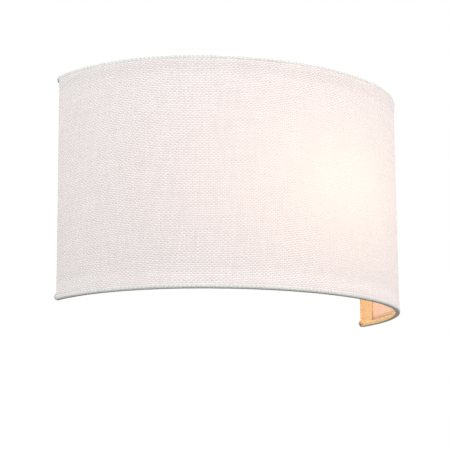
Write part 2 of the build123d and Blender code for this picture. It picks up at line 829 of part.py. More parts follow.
# The skirt screws over the spigot and covers the shell. Ribs along its rear half give a grip.
mouth_radius = shell_outer + mouth_lip
skirt_step = holder_joint + spigot_length + seat_gap
skirt = turn(
    [
        (holder_joint + fit_gap, spigot_radius + fit_gap),
        (holder_joint + fit_gap, holder_radius),
        (holder_mouth, holder_radius),
        (holder_mouth, mouth_radius),
        (holder_mouth - mouth_wall, mouth_radius),
        (holder_mouth - mouth_wall, inner_radius),
        (skirt_step, inner_radius),
        (skirt_step, spigot_radius + fit_gap),
    ],
    shoulder=2,
    radius=mouth_round,
)
with BuildPart() as holder_skirt:
    add(skirt.part)
    with BuildSketch(across(holder_joint + rib_side)):
        with PolarLocations(holder_radius, holder_rib_count):
            Rectangle(rib_side, rib_side)
    extrude(amount=rib_length)
finish(holder_skirt, "holder_skirt")

# The insert plugs the cap, holds the shell's base and is dished for the contact.
holder_insert = turn(
    [
        (holder_terminal_x, 0),
        (holder_terminal_x, insert_radius),
        (shell_base + insert_rim, insert_radius),
        (shell_base + insert_rim, shell_outer + fit_gap),
        (shell_base, shell_outer + fit_gap),
        (shell_base, dish_radius),
        (shell_base - dish_depth, dish_radius),
        (shell_base - dish_depth, 0),
    ]
)
finish(holder_insert, "holder_insert")

# Two brass terminals stand on the insert's back, above and below the lamp's axis. Each takes a core along X
# and a clamp screw from outside.
with BuildPart() as holder_terminals:
    with BuildSketch(across(holder_terminal_x)):
        with Locations((0, terminal_offset), (0, -terminal_offset)):
            Rectangle(terminal_side, terminal_side)
            Circle(core_diameter / 2 + fit_gap, mode=Mode.SUBTRACT)
    extrude(amount=-terminal_side)
    for side in (-1, 1):
        with BuildSketch(Plane.XY.offset(side * terminal_offset)):
            with Locations((terminal_x, -lamp_depth)):
                Circle(terminal_screw / 2 + thread_gap)
        extrude(amount=side * terminal_side, mode=Mode.SUBTRACT)
finish(holder_terminals, "holder_terminals")

terminal_screw_tip = terminal_offset + core_diameter / 2 + thread_gap
terminal_screw_seat = terminal_offset + terminal_side / 2
with BuildPart() as holder_screws:
    for side in (-1, 1):
        with BuildSketch(Plane.XY.offset(side * terminal_screw_tip)):
            with Locations((terminal_x, -lamp_depth)):
                Circle(terminal_screw / 2)
        extrude(amount=side * (terminal_screw_seat - terminal_screw_tip))
        with BuildSketch(Plane.XY.offset(side * terminal_screw_seat)):
            with Locations((terminal_x, -lamp_depth)):
                Circle(terminal_head_radius)
        extrude(amount=side * terminal_head)
        with BuildSketch(Plane.XY.offset(side * (terminal_screw_seat + terminal_head))):
            with Locations((terminal_x, -lamp_depth)):
                Rectangle(2 * terminal_head_radius, driver_slot)
        extrude(amount=-side * terminal_head / 2, mode=Mode.SUBTRACT)
finish(holder_screws, "holder_screws")

holder_shell = turn(
    [
        (shell_base + thread_gap, dish_radius + dish_depth),
        (shell_base + thread_gap, shell_outer),
        (shell_base + shell_length, shell_outer),
        (shell_base + shell_length, shell_inner),
        (shell_base + shell_wall, shell_inner),
        (shell_base + shell_wall, dish_radius + dish_depth),
    ]
)
finish(holder_shell, "holder_shell")

# The contact is a strip folded up to meet the lamp's foot.
contact_low = shell_base - dish_depth + thread_gap + contact_wall / 2
contact_high = lamp_foot_x - thread_gap - contact_wall / 2
with BuildPart() as holder_contact:
    with BuildLine(lamp_plan) as strip:
        FilletPolyline(
            (contact_low, -contact_half_length),
            (contact_low, contact_fold),
            (contact_high, contact_fold - contact_space),
            (contact_high, -contact_tongue),
            radius=contact_bend,
        )
    with BuildSketch(Plane(origin=strip.line @ 0, x_dir=(0, 0, 1), z_dir=strip.line % 0)):
        Rectangle(contact_width, contact_wall)
    sweep()
finish(holder_contact, "holder_contact")

# ---------------------------------------------------------------- lamp

foot_end = lamp_foot_x + foot_wall
foot_edge = lamp_foot_x + foot_wall / 2
bulb_contact = turn(
    [
        (lamp_foot_x, 0),
        (lamp_foot_x, foot_radius - foot_wall / 2),
        (foot_edge, foot_radius),
        (foot_end, foot_radius),
        (foot_end, 0),
    ]
)
finish(bulb_contact, "bulb_contact")

cap_base = foot_end + insulator_length
insulator_radius = cap_radius - insulator_step
bulb_insulator = turn(
    [
        (foot_end, 0),
        (foot_end, foot_radius + foot_wall),
        (cap_base, insulator_radius),
        (cap_base + foot_wall, insulator_radius),
        (cap_base + foot_wall, 0),
    ]
)
finish(bulb_insulator, "bulb_insulator")

housing_start = lamp_foot_x + cap_length
cap_shoulder = cap_base + insulator_step
cap_end = housing_start - glue_film
cap_inner = cap_radius - cap_wall
bulb_cap = turn(
    [
        (cap_base, insulator_radius + fit_gap),
        (cap_shoulder, cap_radius),
        (cap_end, cap_radius),
        (cap_end, cap_inner),
        (cap_shoulder, cap_inner),
        (cap_base + cap_wall, insulator_radius + fit_gap),
    ]
)
finish(bulb_cap, "bulb_cap")

# The housing flares from the cap to meet the globe at the globe's own slope.
# Behind the flare it reaches into the cap as a sleeve.
flare = globe_joint / joint_radius
neck_radius = cap_radius + housing_step
sleeve_radius = cap_inner - fit_gap
sleeve_start = cap_shoulder + glue_film
board_seat = joint_x - housing_wall
flare_start = joint_x - (joint_radius - neck_radius) / flare
with BuildPart() as bulb_housing:
    with BuildSketch(lamp_plan):
        with BuildLine():
            outside = FilletPolyline(
                (housing_start, neck_radius),
                (flare_start, neck_radius),
                (joint_x, joint_radius),
                radius=housing_blend,
            )
            Line(outside @ 1, (joint_x, 0))
            Line((joint_x, 0), (board_seat, 0))
            inside = FilletPolyline(
                (board_seat, 0),
                (board_seat, joint_radius - 2 * housing_wall),
                (flare_start + housing_wall, neck_radius - housing_wall),
                (sleeve_start, sleeve_radius - housing_wall),
                radius=housing_wall,
            )
            Polyline(
                inside @ 1,
                (sleeve_start, sleeve_radius),
                (housing_start, sleeve_radius),
                (housing_start, neck_radius),
            )
        make_face()
    revolve(axis=lamp_line)
finish(bulb_housing, "bulb_housing")

# The board is a disc under the globe with a ring of light-emitting squares.
board_radius = joint_radius - globe_wall - board_inset
with BuildPart() as led_board:
    with BuildSketch(across(joint_x)):
        Circle(board_radius)
    extrude(amount=board_wall)
    with BuildSketch(across(joint_x + board_wall)):
        with PolarLocations(board_radius * led_ring, led_count):
            Rectangle(led_side, led_side)
    extrude(amount=led_height)
finish(led_board, "led_board")

# The globe is a ball cut where it meets the housing.
with BuildPart() as bulb_globe:
    with BuildSketch(lamp_plan):
        with BuildLine():
            inner_start = sqrt((globe_radius - globe_wall) ** 2 - globe_joint**2)
            outer_turn = degrees(atan2(joint_radius, -globe_joint))
            inner_turn = degrees(atan2(inner_start, -globe_joint))
            outer_arc = CenterArc((globe_x, 0), globe_radius, 0, outer_turn)
            inner_arc = CenterArc((globe_x, 0), globe_radius - globe_wall, 0, inner_turn)
            Line(outer_arc @ 0, inner_arc @ 0)
            Line(outer_arc @ 1, inner_arc @ 1)
        make_face()
    revolve(axis=lamp_line)
finish(bulb_globe, "bulb_globe")

# ---------------------------------------------------------------- wiring

# The lead leaves the pan through its grommet, swings out past the bracket's leg and enters the hollow screw.
# Its corners lie in the plane through the lamp's axis and the grommet's far side.
lead_start = pan_depth - lead_inside
lead_turn_depth = lamp_depth - lead_fall
lead_out = Vector(0, lamp_depth - lead_turn_depth, lead_level).normalized()


def on_lead_plane(x, reach):
    """A point at x and a reach from the lamp's axis, towards the grommet."""
    return Vector(x, -lamp_depth, 0) + lead_out * reach


lead_corners = [
    Vector(lead_x, -lead_turn_depth, lead_level),
    on_lead_plane(lead_x - lead_bulge, lead_reach),
    on_lead_plane(lead_x, 0),
]
sleeve_points = [
    Vector(lead_x, -lead_start, lead_level),
    *lead_corners,
    Vector(nipple_end - lead_end, -lamp_depth, 0),
]


def corner_radii(points):
    """The widest arc at each corner of a route that leaves a straight between it and the next."""
    share = 0.45  # of the shorter run beside the corner
    radii = []
    for before, corner, after in zip(points, points[1:], points[2:]):
        arriving = corner - before
        leaving = after - corner
        shorter = min(arriving.length, leaving.length)
        radii.append(share * shorter / tan(radians(arriving.get_angle(leaving)) / 2))
    return radii


def run(name, points, radii, diameter, bore=0.0):
    """Lay a round core, or a sleeve with a bore, along a route of straight runs and arcs."""
    with BuildPart() as laid:
        with BuildLine() as route:
            FilletPolyline(*points, radius=radii)
        with BuildSketch(Plane(origin=route.line @ 0, z_dir=route.line % 0)):
            Circle(diameter / 2)
            if bore:
                Circle(bore / 2, mode=Mode.SUBTRACT)
        sweep()
    finish(laid, name)


lead_radii = corner_radii(sleeve_points)
run("lead_sleeve", sleeve_points, lead_radii, sleeve_diameter, sleeve_diameter - 2 * sleeve_wall)

# The two cores lie one above the other in the lead. Each starts in its own way of the terminal block and
# ends in its own terminal of the lampholder.
core_top = block_level - core_inset
for name, way, side, drop, (turn_x, turn_drop) in (
    ("live_core", way_x[0], 1, live_drop, live_turn),
    ("neutral_core", way_x[1], -1, neutral_drop, neutral_turn),
):
    beside = Vector(0, 0, side * core_pitch / 2)
    terminal_level = side * terminal_offset
    points = [
        Vector(way, -clamp_depth, core_top),
        Vector(way, -clamp_depth, drop),
        Vector(turn_x, -wiring_depth - 2 * wiring_slack, -turn_drop),
        Vector(crossing[0], -wiring_depth - wiring_slack, lead_level - wiring_slack) + beside,
        Vector(crossing[1], -wiring_depth - wiring_slack / 2, lead_level + wiring_slack) + beside,
        Vector(lead_x, -wiring_depth, lead_level) + beside,
        *[corner + beside for corner in lead_corners],
        Vector(nipple_end - core_grip, -lamp_depth, 0) + beside,
        Vector(terminal_x - terminal_side / 2 - core_grip, -lamp_depth, terminal_level),
        Vector(terminal_x + core_grip, -lamp_depth, terminal_level),
    ]
    radii = corner_radii(points)
    entry = points.index(lead_corners[0] + beside) - 1
    radii[entry - 1] = wiring_bend
    radii[entry : entry + len(lead_radii)] = lead_radii
    run(name, points, radii, core_diameter)

# The earth core loops from its way of the block to the tag on the strap.
earth_points = [
    Vector(way_x[2], -clamp_depth, core_top),
    Vector(way_x[2], -clamp_depth, neutral_drop),
    Vector(way_x[2] + earth_turn[0], -earth_turn[1], -earth_turn[2]),
    Vector(earth_x - core_grip, -barrel_depth - core_grip, -earth_low),
    Vector(earth_x, -barrel_depth, barrel_end - core_grip),
    Vector(earth_x, -barrel_depth, barrel_end + barrel_length - core_grip),
]
run("earth_core", earth_points, corner_radii(earth_points), core_diameter)

print(len(nodes), "nodes")
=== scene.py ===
# %% [markdown]
# A wall light with a fabric shade is mostly cloth: a half drum of white linen, a little translucent, with a
# warm lamp behind it. The steel plate, the lampholder and the lamp come as a fixed frame of solids, in
# metres, with the wall at y = 0, the room towards -y and z up. This notebook gives that frame its finishes,
# and makes again with numpy what solids are too plain for: linen and its liner, leads, and rolled threads.

# %% The frame
import math
from collections import namedtuple

import bmesh
import bpy
import numpy as np
from mathutils import Matrix, Vector


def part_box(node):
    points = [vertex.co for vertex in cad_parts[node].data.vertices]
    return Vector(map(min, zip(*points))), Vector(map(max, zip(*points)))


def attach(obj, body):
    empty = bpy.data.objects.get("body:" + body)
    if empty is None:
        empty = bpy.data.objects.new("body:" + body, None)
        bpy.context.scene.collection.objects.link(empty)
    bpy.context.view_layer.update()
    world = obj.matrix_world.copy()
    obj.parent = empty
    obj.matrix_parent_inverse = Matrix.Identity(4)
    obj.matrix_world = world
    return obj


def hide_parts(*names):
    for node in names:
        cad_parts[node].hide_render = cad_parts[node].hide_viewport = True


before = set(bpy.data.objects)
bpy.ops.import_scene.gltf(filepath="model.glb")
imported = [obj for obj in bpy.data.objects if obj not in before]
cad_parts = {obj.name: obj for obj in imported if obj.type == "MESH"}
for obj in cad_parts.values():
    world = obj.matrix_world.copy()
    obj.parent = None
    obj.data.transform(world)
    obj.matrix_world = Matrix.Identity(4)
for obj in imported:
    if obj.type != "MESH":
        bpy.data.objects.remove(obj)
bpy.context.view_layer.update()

# %% [markdown]
# The light was photographed from below and from its left, with a long lens, so the rolled lower edge shows as
# a thin arch and the inside can be seen only past the right limb. A camera could be aimed with a tracking
# constraint, but a heading, a pitch and a roll say the same in three numbers that stay put.

# %% The camera
def link_object(name, data):
    """An object of a name that carries some data, linked to the scene."""
    made = bpy.data.objects.new(name, data)
    bpy.context.scene.collection.objects.link(made)
    return made


picture_pixels, focal_pixels = 450, 1588.728
camera_place = Vector((-0.715207, -1.048221, -0.262753))
heading, pitch, roll = (math.radians(degrees) for degrees in (55.365, 11.114, -0.391))
ahead = Vector((math.cos(heading) * math.cos(pitch), math.sin(heading) * math.cos(pitch), math.sin(pitch)))
level_right = ahead.cross(Vector((0, 0, 1))).normalized()
level_up = level_right.cross(ahead)
camera_right = level_right * math.cos(roll) + level_up * math.sin(roll)
camera_up = level_up * math.cos(roll) - level_right * math.sin(roll)
camera_axes = Matrix((camera_right, camera_up, -ahead)).transposed()
camera = link_object("camera", bpy.data.cameras.new("camera"))
camera.data.sensor_width = 36.0
camera.data.lens = focal_pixels / picture_pixels * camera.data.sensor_width
camera.data.clip_start, camera.data.clip_end = 0.01, 50.0
camera.matrix_world = Matrix.Translation(camera_place) @ camera_axes.to_4x4()
bpy.context.scene.camera = camera
print("lens", round(camera.data.lens, 1), "mm")

# %% [markdown]
# The photograph has a pure white ground and soft, even light. The world is white where the camera sees it,
# and where metal reflects it, and dimmer as a source of light. Two wide soft lamps add the gentle change from
# the cool left end to the brighter right. The floor is far below, because the light hangs on a wall.

# %% The white world
white = (1.0, 1.0, 1.0, 1.0)


def shader_nodes(owner):
    """Switch an owner to nodes, empty its tree and give it back."""
    owner.use_nodes = True
    owner.node_tree.nodes.clear()
    return owner.node_tree


def feed(tree, socket, value):
    """Link another socket to a socket, or set the socket to a value. None leaves it as it is."""
    if isinstance(value, bpy.types.NodeSocket):
        tree.links.new(value, socket)
    elif value is not None:
        socket.default_value = value


def wire(tree, kind, *inputs, **settings):
    """Add a node with settings, feed its inputs in order, and give its first output if it has one."""
    node = tree.nodes.new(kind)
    for name, value in settings.items():
        setattr(node, name, value)
    for socket, value in zip(node.inputs, inputs):
        feed(tree, socket, value)
    return node.outputs[0] if node.outputs else None


def maths(tree, operation, a, b=None, clamp=False):
    """A math node on one or two values."""
    return wire(tree, "ShaderNodeMath", a, b, operation=operation, use_clamp=clamp)


world = bpy.data.worlds.new("white_room")
bpy.context.scene.world = world
tree = shader_nodes(world)
ray = tree.nodes.new("ShaderNodeLightPath").outputs
seen = maths(tree, "MAXIMUM", ray["Is Camera Ray"], ray["Is Glossy Ray"])
seen_or_clear = maths(tree, "MAXIMUM", seen, ray["Is Transmission Ray"])
lighting = wire(tree, "ShaderNodeBackground", (0.97, 0.975, 1.0, 1.0), 1.03)
ground = wire(tree, "ShaderNodeBackground", white, 1.0)
choice = wire(tree, "ShaderNodeMixShader", seen_or_clear, lighting, ground)
wire(tree, "ShaderNodeOutputWorld", choice)
print("world of", len(tree.nodes), "nodes")

# %% The soft lamps
def soft_lamp(name, place, target, size, power, colour):
    """A square area lamp at a place, facing a target."""
    lamp = link_object(name, bpy.data.lights.new(name, "AREA"))
    lamp.data.shape, lamp.data.size = "SQUARE", size
    lamp.data.energy, lamp.data.color = power, colour
    towards = (Vector(target) - Vector(place)).to_track_quat("-Z", "Y")
    lamp.matrix_world = Matrix.Translation(place) @ towards.to_matrix().to_4x4()
    lamp.visible_camera = False


shade_middle = (0.0, -0.08, 0.0)
soft_lamp("key_lamp", (0.60, -1.10, 0.95), shade_middle, 0.8, 11.4, (1.0, 0.975, 0.955))
soft_lamp("fill_lamp", (-0.80, -0.40, 0.72), shade_middle, 0.6, 5.1, (0.98, 1.0, 1.0))
print("two soft lamps")

# %% The floor
floor_level, floor_half = -1.7, 6.0
floor_signs = ((-1, -1), (1, -1), (1, 1), (-1, 1))
floor_corners = [(x * floor_half, y * floor_half, floor_level) for x, y in floor_signs]
floor_mesh = bpy.data.meshes.new("floor")
floor_mesh.from_pydata(floor_corners, [], [(0, 1, 2, 3)])
floor = link_object("floor", floor_mesh)
pale_floor = bpy.data.materials.new("pale_floor")
tree = shader_nodes(pale_floor)
matt = wire(tree, "ShaderNodeBsdfDiffuse", (0.22, 0.22, 0.215, 1.0))
lift = wire(tree, "ShaderNodeEmission", white, 0.78)
camera_ray = tree.nodes.new("ShaderNodeLightPath").outputs["Is Camera Ray"]
lifted = wire(tree, "ShaderNodeMixShader", camera_ray, None, lift)
wire(tree, "ShaderNodeOutputMaterial", wire(tree, "ShaderNodeAddShader", matt, lifted))
floor.data.materials.append(pale_floor)
print("floor at", floor_level)

# %% [markdown]
# The plan of the shade is three arcs: one across the front and a tighter one at each side, ending square to
# the wall. A curve object could follow it, but every piece of cloth needs the same plan at its own inset, so
# the plan is a function: an angle that changes evenly with the length walked, and a centre and radius for
# each arc.

# %% The shade's plan
half_width, half_height, shade_depth = 0.150, 0.0875, 0.134
side_radius, back_edge = 0.1275, -0.004
side_centre = half_width - side_radius
front_radius = (side_centre**2 + shade_depth**2 - side_radius**2) / (2 * (shade_depth - side_radius))
front_centre = back_edge - shade_depth + front_radius
side_turn = math.atan2(front_centre - back_edge, side_centre)
side_length = side_radius * side_turn
front_length = front_radius * (math.pi - 2 * side_turn)
outline_length = 2 * side_length + front_length


def plan(length, inset):
    """A point of the shade's plan and its outward direction, for a length walked from the right back edge.

    The outward angle is minus the length over the side radius, then falls with the front radius, then with
    the side radius again. The point is the arc's centre plus the outward direction times the radius less the
    inset."""
    length, inset = np.broadcast_arrays(np.asarray(length, float), np.asarray(inset, float))
    first = np.minimum(length, side_length) / side_radius
    middle = np.clip(length - side_length, 0, front_length) / front_radius
    last = np.maximum(length - side_length - front_length, 0) / side_radius
    angle = -(first + middle + last)
    on_front = (length > side_length) & (length < side_length + front_length)
    centre_x = np.where(on_front, 0.0, np.where(length <= side_length, side_centre, -side_centre))
    centre_y = np.where(on_front, front_centre, back_edge)
    radius = np.where(on_front, front_radius, side_radius) - inset
    outward = np.stack([np.cos(angle), np.sin(angle)], -1)
    return np.stack([centre_x, centre_y], -1) + radius[..., None] * outward, outward


print("outline of", round(outline_length * 1000, 1), "mm, front radius", round(front_radius * 1000, 1), "mm")

# %% [markdown]
# Thin goods are all made the same way here: a grid of points down the middle of the material, and the
# direction that its face looks. Half a wall each side gives two skins, and a rim of quads closes them round
# whatever part of the grid is kept, so that a slit or a notch gets its own edges. A Solidify modifier does
# much the same, but leaves less say over the places where cloth meets cloth.

# %% Meshes from arrays
def link_mesh(name, points, quads, triangles=(), cloth_map=None, marks=None):
    """A smooth mesh object from point, quad and triangle rows, with a map and marks per point."""
    points = np.asarray(points, np.float32).reshape(-1, 3)
    quads = np.asarray(quads, np.int32).reshape(-1, 4)
    triangles = np.asarray(triangles, np.int32).reshape(-1, 3)
    corners = np.concatenate([quads.ravel(), triangles.ravel()])
    counts = np.concatenate([np.full(len(quads), 4), np.full(len(triangles), 3)]).astype(np.int32)
    starts = np.concatenate([[0], np.cumsum(counts)[:-1]]).astype(np.int32)
    mesh = bpy.data.meshes.new(name)
    mesh.vertices.add(len(points))
    mesh.vertices.foreach_set("co", points.ravel())
    mesh.loops.add(len(corners))
    mesh.loops.foreach_set("vertex_index", corners)
    mesh.polygons.add(len(counts))
    mesh.polygons.foreach_set("loop_start", starts)
    mesh.polygons.foreach_set("loop_total", counts)
    mesh.polygons.foreach_set("use_smooth", np.ones(len(counts), bool))
    mesh.update(calc_edges=True)
    if cloth_map is not None:
        layer = mesh.uv_layers.new(name="cloth")
        layer.data.foreach_set("uv", np.asarray(cloth_map, np.float32)[corners].ravel())
    for mark, values in (marks or {}).items():
        kept_mark = mesh.attributes.new(mark, "FLOAT", "POINT")
        kept_mark.data.foreach_set("value", np.asarray(values, np.float32).ravel())
    mesh.validate()
    return link_object(name, mesh)


def take_place(piece, body, node):
    """Turn a closed piece's faces outwards, put it on a body, and hide the CAD node whose place it takes."""
    work = bmesh.new()
    work.from_mesh(piece.data)
    bmesh.ops.recalc_face_normals(work, faces=work.faces)
    work.to_mesh(piece.data)
    work.free()
    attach(piece, body)
    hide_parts(node)


def report_piece(piece):
    """Print a piece's name and how many triangles it has."""
    piece.data.calc_loop_triangles()
    print(piece.name, len(piece.data.loop_triangles), "triangles")


print("mesh tools ready")

# %% Skins, rims and rings
def grid_cells(rows, columns):
    """The four corners of each cell of a grid of points numbered row by row, walked rows first."""
    number = np.arange(rows * columns).reshape(rows, columns)
    return np.stack([number[:-1, :-1], number[:-1, 1:], number[1:, 1:], number[1:, :-1]], -1)


def thick_sheet(centre, outward, wall, kept=None):
    """Points and quads of a closed sheet: each centre point plus and minus half a wall along its outward.

    The front skin's cells face outward where rows cross columns in the order that plan() walks. The rim has
    one quad for each side of a kept cell whose neighbour isn't kept."""
    rows, columns = centre.shape[:2]
    half = wall / 2 * outward
    points = np.concatenate([(centre + half).reshape(-1, 3), (centre - half).reshape(-1, 3)])
    cells = grid_cells(rows, columns)
    kept = np.ones(cells.shape[:2], bool) if kept is None else kept
    behind = rows * columns
    front = cells[kept]
    quads = [front, front[:, ::-1] + behind]
    padded = np.pad(kept, 1)
    sides = {(-1, 0): (0, 1), (1, 0): (2, 3), (0, 1): (1, 2), (0, -1): (3, 0)}
    for (down, along), (start, end) in sides.items():
        neighbour = padded[1 + down : rows + down, 1 + along : columns + along]
        open_side = kept & ~neighbour
        a, b = cells[open_side][:, start], cells[open_side][:, end]
        quads.append(np.stack([b, a, a + behind, b + behind], -1))
    return points, np.concatenate(quads)


def close_rings(rings):
    """Points, quads and end triangles of a run of joined rings, with a point closing each end."""
    count, sides = rings.shape[:2]
    number = np.arange(count * sides).reshape(count, sides)
    after = np.roll(number, -1, axis=1)
    quads = np.stack([number[:-1], after[:-1], after[1:], number[1:]], -1).reshape(-1, 4)
    ends = np.full((2, sides), [[count * sides], [count * sides + 1]])
    first_cap = np.stack([after[0], number[0], ends[0]], -1)
    last_cap = np.stack([number[-1], after[-1], ends[1]], -1)
    points = np.concatenate([rings.reshape(-1, 3), rings[:1].mean(1), rings[-1:].mean(1)])
    return points, quads, np.concatenate([first_cap, last_cap])


def round_turn(sides):
    """Angles round a ring, from 0 up to a full turn, which is left out."""
    return np.linspace(0, 2 * np.pi, sides + 1)[:-1]


def half_turned(angle):
    """An angle as its distance from 0, at most half a turn, so that what reads it meets itself."""
    return np.abs(np.angle(np.exp(1j * angle)))


print("sheet and ring tools ready")

# %% [markdown]
# The skin is linen bonded to a stiff liner. On the real shade it goes round each upright wire and is turned
# in as a hem of 12 mm; above and below it is rolled round the ring wires. One grid carries hem, wrap, face,
# wrap and hem in a single walk, so the weave runs on without a seam. Over the last 12 mm the face swells out
# to meet the rolls flush.

# %% The walk round hem, wrap, face, wrap and hem
cloth_wall = 0.0005
wire_centre_inset = 0.00285
wrap_radius, wrap_turn = 0.00185, math.radians(208)
face_inset, face_start = 0.0010, 0.0024
hem_inset, hem_free_end, hem_start = 0.0026, 0.0160, 0.0068
upright_x, upright_y = half_width - wire_centre_inset, back_edge - 0.0021


def half_walk():
    """The right half of the walk, from the hem's free end to the face: points, directions and two marks.

    The hem follows the plan at its inset. A cubic with the hem's and the wrap's own directions leads to the
    wrap, which is over half a turn about the upright. The first mark is 1 where the cloth lies on the wire.
    The second is 1 where it faces into the shade, and falls to 0 from 110 to 60 degrees of the wrap."""
    hem = plan(np.linspace(hem_free_end, hem_start, 10), hem_inset)[0]
    turn = np.linspace(wrap_turn, 0.0, 26)
    wrap = np.stack([upright_x + wrap_radius * np.cos(turn), upright_y + wrap_radius * np.sin(turn)], -1)
    start, end = hem[-1], wrap[0]
    go = (hem[-1] - hem[-2]) / np.linalg.norm(hem[-1] - hem[-2])
    come = (wrap[1] - wrap[0]) / np.linalg.norm(wrap[1] - wrap[0])
    reach = 0.45 * np.linalg.norm(end - start)
    leave, arrive = start + reach * go, end - reach * come
    t = np.linspace(0, 1, 9)[1:-1, None]
    lead = (1 - t) ** 3 * start + 3 * (1 - t) ** 2 * t * leave + 3 * (1 - t) * t**2 * arrive + t**3 * end
    points = np.concatenate([hem, lead, wrap])
    step = np.gradient(points, axis=0)
    outward = np.stack([-step[:, 1], step[:, 0]], -1)
    outward /= np.linalg.norm(outward, axis=1, keepdims=True)
    on_wire = np.concatenate([np.zeros(len(hem)), np.linspace(0, 1, len(lead)), np.ones(len(wrap))])
    # The indoors mark is where the finish paints the lamp's warm light.
    indoors = np.concatenate([np.ones(len(hem) + len(lead)), np.clip((np.degrees(turn) - 60) / 50, 0, 1)])
    return points, outward, on_wire, indoors


right_points, right_out, right_on_wire, right_indoors = half_walk()
face_points, face_out = plan(np.linspace(face_start, outline_length - face_start, 290), face_inset)
flip = np.array([-1.0, 1.0])
off_face = np.zeros(len(face_points))
walk = np.concatenate([right_points, face_points, (right_points * flip)[::-1]])
walk_out = np.concatenate([right_out, face_out, (right_out * flip)[::-1]])
walk_on_wire = np.concatenate([right_on_wire, off_face, right_on_wire[::-1]])
walk_indoors = np.concatenate([right_indoors, off_face, right_indoors[::-1]])
walk_on_face = np.zeros(len(walk))
walk_on_face[len(right_points) : -len(right_points)] = 1.0
walk_length = np.concatenate([[0], np.cumsum(np.linalg.norm(np.diff(walk, axis=0), axis=1))])
print("the cloth is", round(walk_length[-1] * 1000, 1), "mm wide, hems and all")

# %% The face, its wraps and its hems, with slits for the lugs
chance = np.random.default_rng(11)
roll_radius = 0.0021
roll_level = half_height - roll_radius
swell_height, swell_reach, swell_end = 0.00062, 0.0126, 0.0010
lug_level, lug_half_width, lug_half_wall = 0.020, 0.008, 0.00075
slit_gap = 0.0003
slit_low, slit_high = lug_level - lug_half_width - slit_gap, lug_level + lug_half_width + slit_gap
even_level = 0.0720
near_roll = roll_level - swell_reach * np.linspace(0.0, 1.0, 9) ** 1.2
level_runs = (
    -near_roll,
    np.linspace(-even_level, slit_low, 26),
    np.linspace(slit_low, slit_high, 6),
    np.linspace(slit_high, even_level, 18),
    near_roll,
)
levels = np.unique(np.concatenate(level_runs))
levels = levels[np.diff(levels, prepend=-half_height) > 1e-5]


def soft_noise(count, smoothing, size):
    """Random numbers with a spread of one, smoothed over a number of neighbours, times a size."""
    window = np.hanning(smoothing + 2)[1:-1]
    rough = np.convolve(chance.normal(size=count + smoothing), window, mode="same")[:count]
    return size * rough / rough.std()


def smooth_step(value, low, high):
    """Zero below low, one above high and an S between them."""
    t = np.clip((value - low) / (high - low), 0, 1)
    return t * t * (3 - 2 * t)


swell = swell_height * smooth_step(np.abs(levels), roll_level - swell_reach, roll_level - swell_end)
wire_bumps = soft_noise(len(levels), 9, 0.00004)
push = walk_on_face[:, None] * swell + walk_on_wire[:, None] * wire_bumps
centre = np.empty((len(walk), len(levels), 3))
centre[..., :2] = walk[:, None] + walk_out[:, None] * push[..., None]
centre[..., 2] = levels
fray = soft_noise(len(levels), 5, 0.00018)
centre[0, :, 1] += fray
centre[-1, :, 1] += fray[::-1]
outward = np.concatenate([walk_out, np.zeros((len(walk), 1))], 1)[:, None]
cell_y = (walk[:-1, 1] + walk[1:, 1]) / 2
cell_x = np.abs(walk[:-1, 0] + walk[1:, 0]) / 2
cell_z = (levels[:-1] + levels[1:]) / 2
in_wall = (np.abs(cell_y - upright_y) < lug_half_wall + slit_gap) & (cell_x < upright_x)
slit = in_wall[:, None] & ((cell_z > slit_low) & (cell_z < slit_high))[None]
skin_points, skin_quads = thick_sheet(centre, outward, cloth_wall, ~slit)
skin_map = np.stack(np.broadcast_arrays(walk_length[:, None], levels), -1).reshape(-1, 2)
print("skin", len(skin_quads) * 2, "triangles,", int(slit.sum()), "cells cut for the lugs")

# %% [markdown]
# A rolled edge is the same cloth drawn round a wire of 3 mm and tucked behind it, so it is a tube of 4.2 mm,
# level with the face in front. It is never quite even: the radius wanders by a few hundredths along the way.
# Each end is folded in on itself, a small knob with a slit where the folds meet.

# %% The rolled edges and their tucked ends
ClothPart = namedtuple("ClothPart", "points quads caps cloth_map roll tuck inside")
roll_start, roll_map_start, knob_map_start = 0.0010, 0.0162, 0.016
pressed_power = 3.4


def with_ends(values, end_value):
    """Values of a run of rings, and the same value at each of its two closing points."""
    return np.concatenate([np.ravel(values), [end_value, end_value]])


def ring_part(rings, ring_map, tuck, inside):
    """A closed part of cloth from rings, with the map and the marks of its ring points."""
    points, quads, caps = close_rings(rings)
    cloth_map = np.concatenate([ring_map.reshape(-1, 2), ring_map[0, :1], ring_map[-1, :1]])
    return ClothPart(points, quads, caps, cloth_map, np.ones(len(points)), tuck, inside)


def rolled_edge(level):
    """A roll at a level: a section with the roll's radius, slightly uneven, set along the plan at that inset.

    The section is |x|^n + |z|^n = r^n with n = 3.4, a circle pressed nearly square: an iron leaves its outer
    face flat and turns its underside sharply. The radius is only ever smaller than the roll's."""
    lengths = np.linspace(roll_start, outline_length - roll_start, 300)
    line, out = plan(lengths, roll_radius)
    line = np.concatenate([line, np.full((len(line), 1), level)], 1)
    out = np.concatenate([out, np.zeros((len(out), 1))], 1)
    turn = round_turn(32)
    radius = roll_radius - 0.00004 - np.abs(soft_noise(len(lengths), 13, 0.00003))
    pressed = [np.sign(wave) * np.abs(wave) ** (2 / pressed_power) for wave in (np.cos(turn), np.sin(turn))]
    profile = radius[:, None, None] * np.stack(pressed, -1)[None]
    rings = line[:, None] + profile[..., :1] * out[:, None] + profile[..., 1:] * np.array([0, 0, 1.0])
    around = level + np.sign(level) * half_turned(turn) * roll_radius
    ring_map = np.stack(np.broadcast_arrays(lengths[:, None] + roll_map_start, around[None]), -1)
    # The inside mark covers the roll's inner and under side, where the finish paints the lamp's warm light.
    inside = np.tile(smooth_step(-np.cos(turn), 0.0, 0.80), len(lengths))
    return ring_part(rings, ring_map, np.zeros(rings[..., 0].size + 2), with_ends(inside, 0.5))


